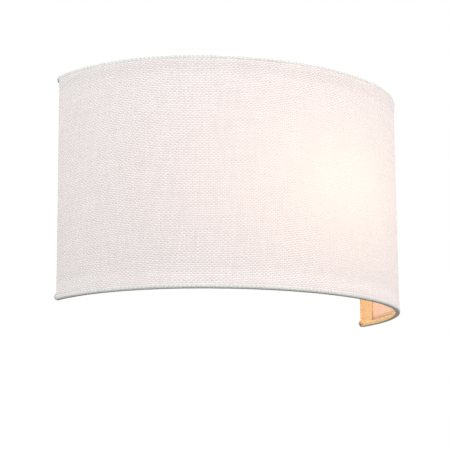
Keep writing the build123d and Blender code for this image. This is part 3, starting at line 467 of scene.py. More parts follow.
def tucked_end(side, level):
    """A knob at one end of a roll: a ball whose rings run from the wall to the room, with a slit.

    The ball is 1.12 times as tall as it is wide and stands a little past the hem. Its radius is 2.7 mm less
    the slit, a dent in the angle about its axis that faces inwards, where the folds of cloth meet."""
    radius, tall, past_hem = 0.0027, 1.12, 0.0026
    height = math.copysign(half_height - tall * radius, level)
    middle = np.array([side * (half_width - radius), back_edge - radius + past_hem, height])
    polar = np.linspace(0.02, math.pi - 0.02, 18)
    turn = round_turn(32)
    fold_at = math.atan2(math.copysign(0.62, level), -side * 0.9)
    off = np.angle(np.exp(1j * (turn - fold_at)))
    slit_width = 0.22 + 0.26 * smooth_step(-np.cos(polar), -0.6, 0.5)
    slit_reach = smooth_step(np.cos(polar), -1.0, -0.85)
    slit_depth = np.exp(-((off[None] / slit_width[:, None]) ** 2)) * slit_reach[:, None]
    pleat = 0.035 * np.cos(3 * (turn - fold_at))[None] * np.sin(polar)[:, None] ** 2
    size = radius * (1 - 0.42 * slit_depth - 0.035 + np.minimum(pleat, 0.03))
    rings = np.empty((len(polar), len(turn), 3))
    rings[..., 0] = size * np.sin(polar)[:, None] * np.cos(turn)[None]
    rings[..., 1] = size * np.cos(polar)[:, None]
    rings[..., 2] = tall * size * np.sin(polar)[:, None] * np.sin(turn)[None]
    lengths = knob_map_start + polar[:, None] * radius
    ring_map = np.stack(np.broadcast_arrays(lengths, level + turn[None] * radius), -1)
    # The inside mark covers the knob's inward half, where the finish paints the lamp's warm light.
    inside = smooth_step(-side * rings[..., 0], -0.0008, 0.0012)
    # The tuck mark is where the finish paints shade: a little over the whole knob, most in the slit.
    tuck = 0.30 + 0.70 * slit_depth
    return ring_part(rings + middle, ring_map, with_ends(tuck, 0.3), with_ends(inside, 0.5))


no_caps, no_mark = np.empty((0, 3), int), np.zeros(len(skin_points))
skin_inside = np.tile(np.repeat(walk_indoors, len(levels)), 2)
cloth_parts = [
    ClothPart(skin_points, skin_quads, no_caps, np.tile(skin_map, (2, 1)), no_mark, no_mark, skin_inside)
]
for level in (-roll_level, roll_level):
    cloth_parts.append(rolled_edge(level))
    cloth_parts.extend(tucked_end(side, level) for side in (-1, 1))
joined = ClothPart(*(np.concatenate(field) for field in zip(*cloth_parts)))
part_starts = np.cumsum([0] + [len(part.points) for part in cloth_parts])
linen_quads = np.concatenate([part.quads + start for part, start in zip(cloth_parts, part_starts)])
linen_caps = np.concatenate([part.caps + start for part, start in zip(cloth_parts, part_starts)])
print("rolls and ends bring the linen to", len(joined.points), "points")

# %% [markdown]
# Lit cloth glows most where the lamp is nearest and fades along the shade. Real translucency would have to be
# traced through cloth and liner, and an exported model would lose it, so the light that comes through is
# worked out here instead: at each point, the lamp's light falls with the square of the distance and with the
# cosine of the angle at which it meets the cloth. It is kept on the mesh as a mark that the finish reads.

# %% The lamp's glow on the cloth, and the linen piece
globe_x, lamp_axis_y = 0.017, -0.062
lamp_middle = np.array([globe_x, lamp_axis_y, 0.0])
nearest_cloth, glow_spread = 0.0755, 0.012


def plan_out(points):
    """The horizontal outward direction of the shade near each point, from the three arcs' own centres."""
    x, y = points[:, 0], points[:, 1]
    from_front = np.stack([x, y - front_centre], -1)
    from_side = np.stack([x - np.sign(x) * side_centre, y - back_edge], -1)
    front_angle = np.arctan2(-from_front[:, 1], np.abs(from_front[:, 0]))
    chosen = np.where((front_angle > side_turn)[:, None], from_front, from_side)
    return chosen / np.linalg.norm(chosen, axis=1, keepdims=True)


def lamp_glow(points):
    """Light through the cloth: the cosine over the squared distance, about one where the lamp is nearest.

    The spread softens the distance, because the globe is wide and the liner scatters its light."""
    away = points - lamp_middle
    square = (away**2).sum(1) + glow_spread**2
    facing = np.clip((away[:, :2] * plan_out(points)).sum(1), 0, None) / np.sqrt(square)
    return facing / square * (nearest_cloth**2 + glow_spread**2)


glow = lamp_glow(joined.points)
marks = {"glow": glow, "roll": joined.roll, "tuck": joined.tuck, "inside": joined.inside}
linen = link_mesh("shade_linen", joined.points, linen_quads, linen_caps, joined.cloth_map, marks)
take_place(linen, "shade", "shade_fabric")
report_piece(linen)
print("glow from", round(float(glow.min()), 3), "to", round(float(glow.max()), 3))

# %% [markdown]
# Finishes are made of nodes. The effects that several finishes share, such as woven threads or the fine
# unevenness of paint and metal, are groups with named sockets, built once and set differently in each
# material. The shader itself stays in the material, where its constant values are set on its own sockets.

# %% Small tools for node trees
def set_sockets(tree, node, **values):
    """Feed a node's inputs by name, with underscores for spaces."""
    for name, value in values.items():
        feed(tree, node.inputs[name.replace("_", " ")], value)


def blend_colours(tree, share, first, second, kind="MIX"):
    """A colour mix: first where the share is 0, second where it is 1."""
    node = tree.nodes.new("ShaderNodeMix")
    node.data_type, node.blend_type = "RGBA", kind
    for socket, value in ((node.inputs[0], share), (node.inputs[6], first), (node.inputs[7], second)):
        feed(tree, socket, value)
    return node.outputs[2]


def spread_out(tree, value, low, high, out_low=0.0, out_high=1.0):
    """Map a value's range to another, clamped."""
    return wire(tree, "ShaderNodeMapRange", value, low, high, out_low, out_high)


def cloud(tree, vector, scale, detail=2.0, roughness=0.5, output="Fac"):
    """Noise on a vector, as a value between 0 and 1 or as a colour."""
    node = tree.nodes.new("ShaderNodeTexNoise")
    set_sockets(tree, node, Vector=vector, Scale=scale, Detail=detail, Roughness=roughness)
    return node.outputs[output]


def cells(tree, vector, scale):
    """The outputs of a cell texture on a vector."""
    node = tree.nodes.new("ShaderNodeTexVoronoi")
    set_sockets(tree, node, Vector=vector, Scale=scale)
    return node.outputs


def scaled(tree, vector, scale):
    """A vector times one number."""
    return wire(tree, "ShaderNodeVectorMath", vector, None, None, scale, operation="SCALE")


def parts_of(tree, vector):
    """A vector's X, Y and Z as sockets."""
    node = tree.nodes.new("ShaderNodeSeparateXYZ")
    tree.links.new(vector, node.inputs[0])
    return node.outputs


def own_place(tree):
    """The object's own coordinates."""
    return tree.nodes.new("ShaderNodeTexCoord").outputs["Object"]


def own_map(tree):
    """The map that a mesh keeps: lengths along and around a piece."""
    node = tree.nodes.new("ShaderNodeUVMap")
    node.uv_map = "cloth"
    return node.outputs[0]


def read_mark(tree, name):
    """The value that a mesh keeps under a name."""
    node = tree.nodes.new("ShaderNodeAttribute")
    node.attribute_name = name
    return node.outputs["Fac"]


def new_group(name, inputs, outputs):
    """A shader node group with named sockets: (name, kind, value) inputs and outputs that are all values."""
    group = bpy.data.node_groups.new(name, "ShaderNodeTree")
    for label, kind, value in inputs:
        socket = group.interface.new_socket(label, in_out="INPUT", socket_type=kind)
        if value is not None:
            socket.default_value = value
    for label in outputs:
        group.interface.new_socket(label, in_out="OUTPUT", socket_type="NodeSocketFloat")
    return group, group.nodes.new("NodeGroupInput").outputs, group.nodes.new("NodeGroupOutput")


def use_group(tree, group, **values):
    """Place a group and link or set its inputs by name."""
    node = tree.nodes.new("ShaderNodeGroup")
    node.node_tree = group
    set_sockets(tree, node, **values)
    return node.outputs


def new_finish(name):
    """A material with an empty tree, and its Principled shader already joined to its output."""
    material = bpy.data.materials.new(name)
    tree = shader_nodes(material)
    shader = tree.nodes.new("ShaderNodeBsdfPrincipled")
    wire(tree, "ShaderNodeOutputMaterial", shader.outputs[0])
    return material, tree, shader


def raise_surface(tree, shader, height, distance):
    """Feed a height to the shader's normal through a Bump node."""
    bump = tree.nodes.new("ShaderNodeBump")
    set_sockets(tree, bump, Strength=1.0, Distance=distance, Height=height)
    tree.links.new(bump.outputs[0], shader.inputs["Normal"])


print("node tools ready")

# %% [markdown]
# A plain weave is a sine in each direction. Where the two sines multiply to more than nothing the upright
# thread lies on top, elsewhere the level one does, and where both are near zero there is a small gap, which
# the finishes darken as painted shade. Noise bends the rows a little and makes single threads thicker and
# lighter, which is what linen's slubs do.

# %% The woven threads group
threads, given, gives = new_group(
    "woven_threads",
    [
        ("Map", "NodeSocketVector", None),
        ("Across Pitch", "NodeSocketFloat", 0.0016),
        ("Up Pitch", "NodeSocketFloat", 0.0013),
        ("Wander", "NodeSocketFloat", 0.0006),
        ("Slubs", "NodeSocketFloat", 0.5),
    ],
    ["Height", "Tone", "Gap"],
)


def one_thread(number, along, stretch):
    """Noise that is even across one thread and changes slowly along it."""
    across_place = maths(threads, "MULTIPLY", number, 7.31)
    along_place = maths(threads, "MULTIPLY", along, stretch)
    return cloud(threads, wire(threads, "ShaderNodeCombineXYZ", across_place, along_place, 0.0), 1.0)


def about_half(value, size):
    """A value between 0 and 1, less a half, times a size."""
    return maths(threads, "MULTIPLY", maths(threads, "SUBTRACT", value, 0.5), size)


bend = cloud(threads, given["Map"], 70.0, 3.0, output="Color")
centred = wire(threads, "ShaderNodeVectorMath", bend, (0.5, 0.5, 0.5), operation="SUBTRACT")
shift = scaled(threads, centred, given["Wander"])
bent = wire(threads, "ShaderNodeVectorMath", given["Map"], shift, operation="ADD")
place = parts_of(threads, bent)
across = maths(threads, "DIVIDE", place["X"], given["Across Pitch"])
upward = maths(threads, "DIVIDE", place["Y"], given["Up Pitch"])
wave_across = maths(threads, "SINE", maths(threads, "MULTIPLY", across, math.pi))
wave_upward = maths(threads, "SINE", maths(threads, "MULTIPLY", upward, math.pi))
ridge_across, ridge_upward = (maths(threads, "ABSOLUTE", wave) for wave in (wave_across, wave_upward))
over = maths(threads, "MULTIPLY", wave_across, wave_upward)
upright_on_top = spread_out(threads, over, -0.35, 0.35)
upright_height = maths(threads, "MULTIPLY", ridge_across, spread_out(threads, over, -1.0, 1.0))
level_height = maths(threads, "MULTIPLY", ridge_upward, spread_out(threads, over, -1.0, 1.0, 1.0, 0.0))
woven = maths(threads, "MAXIMUM", upright_height, level_height)
gap = spread_out(threads, maths(threads, "MAXIMUM", ridge_across, ridge_upward), 0.15, 0.62, 1.0, 0.0)
upright_thread = one_thread(maths(threads, "FLOOR", across), place["Y"], 45.0)
level_thread = one_thread(maths(threads, "ADD", maths(threads, "FLOOR", upward), 400.0), place["X"], 38.0)
of_top_thread = wire(threads, "ShaderNodeMix", upright_on_top, None, level_thread, upright_thread)
slub = spread_out(threads, of_top_thread, 0.60, 0.78)
fibre = cloud(threads, bent, 5200.0, 3.0, 0.65)
top_tone = wire(threads, "ShaderNodeMath", over, 0.26, 0.5, operation="MULTIPLY_ADD")
thread_tone = maths(threads, "ADD", top_tone, about_half(of_top_thread, given["Slubs"]))
tone = maths(threads, "ADD", thread_tone, about_half(fibre, 0.22), clamp=True)
height = maths(threads, "ADD", woven, maths(threads, "MULTIPLY", slub, 0.35))
height = maths(threads, "ADD", height, maths(threads, "MULTIPLY", fibre, 0.18))
set_sockets(threads, gives, Height=height, Tone=tone, Gap=gap)
print("woven threads of", len(threads.nodes), "nodes")

# %% The linen's colour, layer by layer
linen_finish, tree, shader = new_finish("natural_linen")
cloth_place = own_map(tree)
linen_weave = {"Across_Pitch": 0.00167, "Up_Pitch": 0.00133, "Wander": 0.0006, "Slubs": 0.9}
weave = use_group(tree, threads, Map=cloth_place, **linen_weave)
glow_here, roll_here, tuck_shade_here, lamp_warmth_here = (read_mark(tree, mark) for mark in marks)
handled = spread_out(tree, cloud(tree, cloth_place, 22.0, 3.0), 0.3, 0.7, 0.0, 0.05)
specks = cells(tree, cloth_place, 26.0)
speck_rare = spread_out(tree, wire(tree, "ShaderNodeSeparateColor", specks["Color"]), 0.955, 0.956)
speck = maths(tree, "MULTIPLY", spread_out(tree, specks["Distance"], 0.010, 0.020, 1.0, 0.0), speck_rare)
dark_thread, light_thread = (0.600, 0.580, 0.575, 1.0), (0.855, 0.840, 0.835, 1.0)
linen_layers = [
    (maths(tree, "MULTIPLY", glow_here, 0.62), (0.750, 0.735, 0.728, 1.0), "MIX"),
    (handled, (0.60, 0.57, 0.56, 1.0), "MIX"),
    # Painted shade: the gaps between the threads are darkened in the colour.
    (maths(tree, "MULTIPLY", weave["Gap"], 0.10), (0.50, 0.48, 0.46, 1.0), "MIX"),
    # Painted shade: the rolls are a little cooler and greener, where the wire keeps the lamp's warm light
    # back.
    (roll_here, (0.985, 1.02, 0.975, 1.0), "MULTIPLY"),
    # Painted lamp light: faces that look into the shade, hems and inner sides of rolls and knobs, are tinted
    # warm.
    (lamp_warmth_here, (1.0, 0.85, 0.51, 1.0), "MULTIPLY"),
    # Painted shade: knobs darken a little all over and most in their slits, in a brown warmed by the lamp's
    # light.
    (maths(tree, "MULTIPLY", tuck_shade_here, 0.95), (0.13, 0.05, 0.018, 1.0), "MIX"),
    (maths(tree, "MULTIPLY", speck, 0.55), (0.30, 0.22, 0.15, 1.0), "MIX"),
]
colour = blend_colours(tree, weave["Tone"], dark_thread, light_thread)
for share, tint, kind in linen_layers:
    colour = blend_colours(tree, share, colour, tint, kind)
print("linen thread and", len(linen_layers), "layers of colour")

# %% The linen's glow and surface
black = (0.0, 0.0, 0.0, 1.0)
far_glow, near_glow = (0.34, 0.135, 0.060, 1.0), (0.24, 0.170, 0.085, 1.0)
single_cloth = spread_out(tree, roll_here, 0.0, 1.0, 1.0, 0.25)
through = maths(tree, "MULTIPLY", maths(tree, "POWER", glow_here, 0.85), single_cloth)
through = maths(tree, "MULTIPLY", through, spread_out(tree, weave["Tone"], 0.2, 0.8, 0.90, 1.08))
lit_colour = blend_colours(tree, spread_out(tree, glow_here, 0.35, 1.0), far_glow, near_glow)
set_sockets(
    tree,
    shader,
    Base_Color=colour,
    Roughness=spread_out(tree, weave["Height"], 0.0, 1.2, 0.97, 0.86),
    Specular_IOR_Level=0.18,
    Sheen_Weight=0.10,
    Sheen_Roughness=0.6,
    Emission_Color=blend_colours(tree, through, black, lit_colour),
    Emission_Strength=1.0,
)
raise_surface(tree, shader, weave["Height"], 0.00022)
linen.data.materials.append(linen_finish)
print("linen finish of", len(tree.nodes), "nodes")

# %% [markdown]
# Paint, plating and moulded plastic differ in colour and gloss, but all of them have the same four small
# faults: soft patches from handling and heat, a fine grain, hairline scratches, and dust on what faces up.
# One group makes the four from object coordinates, and each finish decides how much of each it shows.
# Photographs of scratched metal would do it too, but they can't be scaled to a screw and a back plate alike.

# %% The group of patches, grain, scratches and dust
wear, given, gives = new_group(
    "surface_wear",
    [
        ("Patch Scale", "NodeSocketFloat", 60.0),
        ("Grain Scale", "NodeSocketFloat", 2500.0),
        ("Scratch Scale", "NodeSocketVector", (900.0, 900.0, 60.0)),
    ],
    ["Patches", "Grain", "Scratches", "Dust"],
)
own = wear.nodes.new("ShaderNodeTexCoord").outputs
drawn_out = wire(wear, "ShaderNodeVectorMath", own["Object"], given["Scratch Scale"], operation="MULTIPLY")
patches = cloud(wear, scaled(wear, own["Object"], given["Patch Scale"]), 1.0, 4.0, 0.6)
grain = cloud(wear, scaled(wear, own["Object"], given["Grain Scale"]), 1.0, 3.0, 0.65)
hairline = maths(wear, "ABSOLUTE", maths(wear, "SUBTRACT", cloud(wear, drawn_out, 1.0, 2.0, 0.7), 0.5))
broken = spread_out(wear, patches, 0.45, 0.62)
scratches = maths(wear, "MULTIPLY", spread_out(wear, hairline, 0.0, 0.012, 1.0, 0.0), broken)
settled = spread_out(wear, parts_of(wear, own["Normal"])["Z"], 0.55, 0.98)
lint = spread_out(wear, cloud(wear, own["Object"], 1400.0, 5.0, 0.75), 0.35, 0.68, 0.15, 1.0)
dust = maths(wear, "MULTIPLY", settled, lint)
even_patches = spread_out(wear, patches, 0.28, 0.72)
set_sockets(wear, gives, Patches=even_patches, Grain=grain, Scratches=scratches, Dust=dust)
print("surface wear of", len(wear.nodes), "nodes")

# %% One shape of finish for paint, plating and plastic
Finish = namedtuple("Finish", "material tree shader wear colour")
dust_colour = (0.62, 0.60, 0.57, 1.0)
scratch_height = 0.000004


def surfaced(
    name, pale, dark, gloss, rough,
    metallic=0.0, coat=0.0, lumps=0.0, grain_depth=0.0, scratch=0.0, dust=0.25, **scales
):
    """A finish between two colours and two roughnesses: patches mix them, scratches and dust dull them.

    Lumps and grain_depth are heights in metres. The tree and its useful values come back for further work."""
    material, tree, shader = new_finish(name)
    seen = use_group(tree, wear, **scales)
    scratched = (*[0.6 * c for c in dark], 1.0)
    dusty = maths(tree, "MULTIPLY", seen["Dust"], dust)
    groove = maths(tree, "MULTIPLY", seen["Scratches"], scratch_height * scratch)
    colour = blend_colours(tree, seen["Patches"], (*dark, 1.0), (*pale, 1.0))
    colour = blend_colours(tree, maths(tree, "MULTIPLY", seen["Scratches"], scratch), colour, scratched)
    colour = blend_colours(tree, dusty, colour, dust_colour)
    roughness = spread_out(tree, seen["Patches"], 0.0, 1.0, rough, gloss)
    roughness = maths(tree, "ADD", roughness, maths(tree, "MULTIPLY", seen["Scratches"], 0.25 * scratch))
    roughness = maths(tree, "ADD", roughness, maths(tree, "MULTIPLY", seen["Dust"], 0.5 * dust), clamp=True)
    height = maths(tree, "MULTIPLY", seen["Patches"], lumps)
    height = maths(tree, "ADD", height, maths(tree, "MULTIPLY", seen["Grain"], grain_depth))
    raise_surface(tree, shader, maths(tree, "SUBTRACT", height, groove), 1.0)
    set_sockets(tree, shader, Base_Color=colour, Roughness=roughness, Coat_Weight=coat, Coat_Roughness=0.12)
    if metallic:
        set_sockets(tree, shader, Metallic=spread_out(tree, dusty, 0.0, 1.0, metallic, 0.0))
    return Finish(material, tree, shader, seen, colour)


def wear_finish(finish, *nodes):
    """Give a finish to every material slot of the named CAD pieces, whose meshes stay as they are."""
    for node in nodes:
        for slot in bpy.data.objects[node].material_slots:
            slot.link = "OBJECT"
            slot.material = finish.material


print("surfaced finishes ready")

# %% [markdown]
# Sheet steel in such a fitting is powder coated: the powder melts into a skin with the long soft waves of
# orange peel, about a millimetre across. The straps that carry the shade get the same coat. The ring wires
# are dipped in plastic, which is glossier and sags into lazy lumps.

# %% Powder coat and dipped wire
white_paint = surfaced(
    "white_powder_coat", (0.70, 0.70, 0.69), (0.64, 0.635, 0.62), 0.34, 0.46,
    coat=0.25, grain_depth=0.000035, Grain_Scale=900.0, Patch_Scale=24.0, scratch=0.25,
)
white_steel = surfaced(
    "white_coated_strap", (0.70, 0.70, 0.695), (0.61, 0.605, 0.60), 0.32, 0.45,
    coat=0.2, grain_depth=0.00003, Grain_Scale=1100.0, Patch_Scale=70.0, scratch=0.5,
)
dipped_wire = surfaced(
    "white_dipped_wire", (0.72, 0.72, 0.70), (0.63, 0.625, 0.61), 0.28, 0.42,
    coat=0.35, lumps=0.00009, grain_depth=0.000006, Patch_Scale=160.0,
)
wear_finish(white_paint, "back_plate")
wear_finish(white_steel, "left_lug", "right_lug", "lamp_bracket")
wear_finish(dipped_wire, "top_wire", "bottom_wire", "left_upright", "right_upright")
print("steel sheet and wires finished")

# %% [markdown]
# Bright zinc has a cool colour with hints of straw and blue where the film is thicker, and a fine crystal
# sparkle. Nickel is warmer and smoother. Brass terminals dull to brown in patches, and tin looks like brushed
# milk. The sparkle comes from cells whose random shade shifts the roughness, which costs no geometry.

# %% The plated metals
def crystals(finish, scale, low, high):
    """Shift the roughness from cell to cell, as grains of plating do."""
    tree, socket = finish.tree, finish.shader.inputs["Roughness"]
    shade = wire(tree, "ShaderNodeSeparateColor", cells(tree, own_place(tree), scale)["Color"])
    shift = spread_out(tree, shade, 0.0, 1.0, low, high)
    feed(tree, socket, maths(tree, "ADD", socket.links[0].from_socket, shift, clamp=True))


def recolour(finish, share, colour):
    """Blend another colour into a finish's own, by a share that is a number or a socket."""
    mixed = blend_colours(finish.tree, share, finish.colour, colour)
    set_sockets(finish.tree, finish.shader, Base_Color=mixed)


zinc = surfaced(
    "bright_zinc", (0.66, 0.69, 0.72), (0.50, 0.50, 0.49), 0.20, 0.40,
    metallic=1.0, grain_depth=0.000004, Patch_Scale=120.0, scratch=0.6,
)
crystals(zinc, 1500.0, -0.06, 0.10)
straw, blue = (0.74, 0.68, 0.55, 1.0), (0.56, 0.64, 0.76, 1.0)
recolour(zinc, 0.32, blend_colours(zinc.tree, cloud(zinc.tree, own_place(zinc.tree), 85.0), straw, blue))
nickel = surfaced(
    "nickel_plate", (0.78, 0.75, 0.70), (0.62, 0.58, 0.53), 0.10, 0.24,
    metallic=1.0, grain_depth=0.000002, Patch_Scale=150.0, scratch=0.8, Scratch_Scale=(300.0, 2600.0, 300.0),
)
brass = surfaced(
    "terminal_brass", (0.80, 0.58, 0.27), (0.50, 0.33, 0.15), 0.20, 0.45,
    metallic=1.0, grain_depth=0.000005, Patch_Scale=240.0, scratch=0.7,
)
crystals(brass, 2600.0, -0.04, 0.08)
tinned = surfaced(
    "tinned_metal", (0.72, 0.71, 0.69), (0.55, 0.55, 0.55), 0.30, 0.48,
    metallic=1.0, lumps=0.00005, grain_depth=0.000006, Patch_Scale=420.0, scratch=0.4,
)
aluminium = surfaced(
    "cap_aluminium", (0.72, 0.72, 0.72), (0.58, 0.58, 0.57), 0.22, 0.36,
    metallic=1.0, grain_depth=0.000004, Patch_Scale=90.0, scratch=0.9, Scratch_Scale=(60.0, 1200.0, 1200.0),
)
wear_finish(zinc, "wall_bracket", "bracket_studs", "bracket_nuts", "bracket_screws", "screw_nuts")
wear_finish(zinc, "shade_studs", "left_washer", "right_washer", "terminal_screws", "block_screws")
wear_finish(zinc, "nipple", "nipple_washer", "nipple_nut", "holder_screws")
wear_finish(nickel, "cap_nuts", "left_thumb_nut", "right_thumb_nut")
wear_finish(brass, "earth_screw", "terminal_clamps", "holder_terminals", "holder_contact")
wear_finish(tinned, "earth_tag", "bulb_contact")
print("metals finished")

# %% [markdown]
# The lampholder is a white moulding with a faintly sparked surface, the terminal block is milky nylon, the
# rings that guard the cables are rubber with a pale bloom, and the insert is steatite: cream, fine-grained
# and speckled. The lamp's own housing is glossier plastic, and a ring of black glass parts its cap from its
# foot.

# %% Plastics, rubber, steatite and glass
holder_plastic = surfaced(
    "holder_moulding", (0.69, 0.69, 0.675), (0.62, 0.615, 0.60), 0.38, 0.50,
    grain_depth=0.000012, Grain_Scale=4200.0, Patch_Scale=45.0, scratch=0.3,
)
nylon = surfaced(
    "milky_nylon", (0.66, 0.65, 0.61), (0.56, 0.55, 0.51), 0.34, 0.48, lumps=0.00003, Patch_Scale=130.0
)
set_sockets(nylon.tree, nylon.shader, Subsurface_Weight=0.25, Subsurface_Radius=(0.0012, 0.0010, 0.0008))
rubber = surfaced(
    "grey_rubber", (0.115, 0.115, 0.118), (0.045, 0.045, 0.047), 0.58, 0.75,
    grain_depth=0.00001, Patch_Scale=190.0, dust=0.5,
)
steatite = surfaced(
    "steatite", (0.66, 0.62, 0.53), (0.58, 0.54, 0.45), 0.36, 0.52,
    lumps=0.00002, grain_depth=0.00001, Grain_Scale=3000.0, Patch_Scale=260.0,
)
speckles = spread_out(steatite.tree, steatite.wear["Grain"], 0.70, 0.76, 0.0, 0.75)
recolour(steatite, speckles, (0.33, 0.27, 0.20, 1.0))
housing_plastic = surfaced(
    "housing_moulding", (0.70, 0.70, 0.69), (0.64, 0.64, 0.625), 0.20, 0.30,
    coat=0.3, grain_depth=0.000003, Patch_Scale=38.0, scratch=0.2,
)
black_glass = surfaced(
    "black_glass", (0.020, 0.018, 0.022), (0.008, 0.008, 0.010), 0.06, 0.18,
    coat=0.5, lumps=0.00006, Patch_Scale=300.0,
)
wear_finish(holder_plastic, "holder_cap", "holder_skirt")
wear_finish(nylon, "terminal_block")
wear_finish(rubber, "cable_grommet", "lead_grommet")
wear_finish(steatite, "holder_insert")
wear_finish(housing_plastic, "bulb_housing")
wear_finish(black_glass, "bulb_insulator")
print("plastics, rubber, steatite and glass finished")

# %% [markdown]
# The lamp shines through its opal globe onto the liner, and that light is what warms the right of the shade.
# The globe is bright in itself, evenly, with the dim ring that the housing's edge leaves at its foot. A point
# lamp inside the same ball lights what stands round it: it is found at once, where light from the globe's own
# faces would leave grain in the shade. Its light falls with the distance, not with its square, so that the
# plate close by isn't lost in white.

# %% The lit globe and the board of light sources
globe_radius, board_face, chip_foot = 0.030, globe_x - 0.015, 0.0017
opal = surfaced("opal_globe", (0.86, 0.84, 0.80), (0.82, 0.79, 0.74), 0.22, 0.34, Patch_Scale=40.0, dust=0.15)
along_globe = parts_of(opal.tree, own_place(opal.tree))["X"]
towards_tip = spread_out(opal.tree, along_globe, board_face, globe_x + 0.006, 0.25)
rim_angle = opal.tree.nodes.new("ShaderNodeLayerWeight")
rim_angle.inputs["Blend"].default_value = 0.35
dim_rim = spread_out(opal.tree, rim_angle.outputs["Facing"], 0.0, 1.0, 1.0, 0.55)
shine = maths(opal.tree, "MULTIPLY", towards_tip, dim_rim)
opal_light = blend_colours(opal.tree, shine, (0.30, 0.13, 0.04, 1.0), (1.0, 0.80, 0.58, 1.0))
set_sockets(opal.tree, opal.shader, Emission_Color=opal_light, Emission_Strength=0.8)
wear_finish(opal, "bulb_globe")

board = surfaced(
    "led_board", (0.74, 0.76, 0.73), (0.66, 0.69, 0.65), 0.35, 0.5, grain_depth=0.000006, Patch_Scale=160.0
)
chip_edge = board_face + chip_foot
along_board = parts_of(board.tree, own_place(board.tree))["X"]
raised = spread_out(board.tree, along_board, chip_edge - 0.00005, chip_edge + 0.00005)
recolour(board, raised, (0.85, 0.62, 0.12, 1.0))
chip_light = blend_colours(board.tree, raised, black, (1.0, 0.72, 0.40, 1.0))
set_sockets(board.tree, board.shader, Emission_Color=chip_light, Emission_Strength=2.0)
wear_finish(board, "led_board")
print("globe and board lit")

# %% The light inside the globe
lamp_light = link_object("lamp_light", bpy.data.lights.new("lamp_light", "POINT"))
lamp_light.data.energy, lamp_light.data.color = 0.60, (1.0, 0.47, 0.20)
lamp_light.data.shadow_soft_size = globe_radius + 0.0005
lamp_light.data.use_soft_falloff = False
tree = shader_nodes(lamp_light.data)
falloff = tree.nodes.new("ShaderNodeLightFalloff")
falloff.inputs["Strength"].default_value = 6.8
wire(tree, "ShaderNodeOutputLight", wire(tree, "ShaderNodeEmission", None, falloff.outputs["Linear"]))
lamp_light.location = lamp_middle
lamp_light.visible_camera = False
print("lamp lit at", tuple(round(v, 4) for v in lamp_light.location))

# %% [markdown]
# Each core is copper in a thin jacket of its own colour, brown, blue, or green with yellow, and two of them
# run in a heat-proof sleeve of braided glass. A lead like this hangs between two fixed ends in one slack
# line. A Bevel on a curve would draw it at once, but the braid needs a map that runs along and around it, so
# a curve gives only the line, and rings set square to that line give the surface.

# %% The line of a lead, and rings along it
ring_lean = np.array([0.0, 0.618, 0.786])


def lead_line(name, route):
    """The smooth line of a lead, in metres, from its route's points in millimetres.

    A NURBS spline of order 3 has the route's points as its control points and starts and ends on them."""
    curve = bpy.data.curves.new(name, "CURVE")
    curve.dimensions, curve.resolution_u = "3D", 24
    spline = curve.splines.new("NURBS")
    spline.points.add(len(route) - 1)
    spline.points.foreach_set("co", np.c_[np.asarray(route) / 1000, np.ones(len(route))].ravel())
    spline.order_u, spline.use_endpoint_u = 3, True
    drawn = bpy.data.objects.new(name, curve)
    line = np.array([vertex.co for vertex in bpy.data.meshes.new_from_object(drawn).vertices])
    bpy.data.objects.remove(drawn)
    return line


def rings_along(line, radius, sides):
    """Rings square to a line: the radius times the cosine and sine of a turn, along two directions.

    The first direction is the line's own crossed with one that no lead runs along, the second is square to
    both. The map is the length along the line and the length round it, mirrored half way."""
    step = np.gradient(line, axis=0)
    along = step / np.linalg.norm(step, axis=1, keepdims=True)
    first = np.cross(along, ring_lean)
    first /= np.linalg.norm(first, axis=1, keepdims=True)
    second = np.cross(along, first)
    turn = round_turn(sides)
    spokes = np.cos(turn)[:, None] * first[:, None] + np.sin(turn)[:, None] * second[:, None]
    walked = np.concatenate([[0], np.cumsum(np.linalg.norm(np.diff(line, axis=0), axis=1))])
    ring_map = np.stack(np.broadcast_arrays(walked[:, None], half_turned(turn)[None] * radius), -1)
    return line[:, None] + radius * spokes, ring_map, walked[-1]


def closed_rings(outer, inner):
    """Points and quads of a tube with a bore: outer rings, then inner ones back, joined end to end."""
    rings = np.concatenate([outer, inner[::-1]])
    number = np.arange(rings.shape[0] * rings.shape[1]).reshape(rings.shape[:2])
    after, onward = np.roll(number, -1, axis=1), np.roll(number, -1, axis=0)
    quads = np.stack([number, after, np.roll(after, -1, axis=0), onward], -1)
    return rings.reshape(-1, 3), quads.reshape(-1, 4)


print("lead tools ready")

# %% The cores and the sleeve
core_sides, sleeve_sides = 18, 40
core_diameter, sleeve_diameter, sleeve_bore = 0.002, 0.0056, 0.0048
routes = {
    "live": [
        (36, -17, 24), (36, -17, 2), (14, -12, -13), (-25, -10, -22.7), (-67, -9, -18.7), (-103, -8, -20.7),
        (-103, -34, -20.7), (-114, -50.992, -7.35), (-103, -62, 1.3),
        (-78, -62, 1.3), (-74, -62, 4), (-69.5, -62, 4),
    ],
    "neutral": [
        (45, -17, 24), (45, -17, -4), (21, -12, -23), (-25, -10, -25.3), (-67, -9, -21.3), (-103, -8, -23.3),
        (-103, -34, -23.3), (-114, -50.992, -9.95), (-103, -62, -1.3),
        (-78, -62, -1.3), (-74, -62, -4), (-69.5, -62, -4),
    ],
    "earth": [(54, -17, 24), (54, -17, -4), (61, -10, -24), (71, -4.1, -27), (72, -3.1, -13), (72, -3.1, -7)],
    "sleeve": [(-103, -16, -22), (-103, -34, -22), (-114, -50.992, -8.65), (-103, -62, 0), (-84, -62, 0)],
}


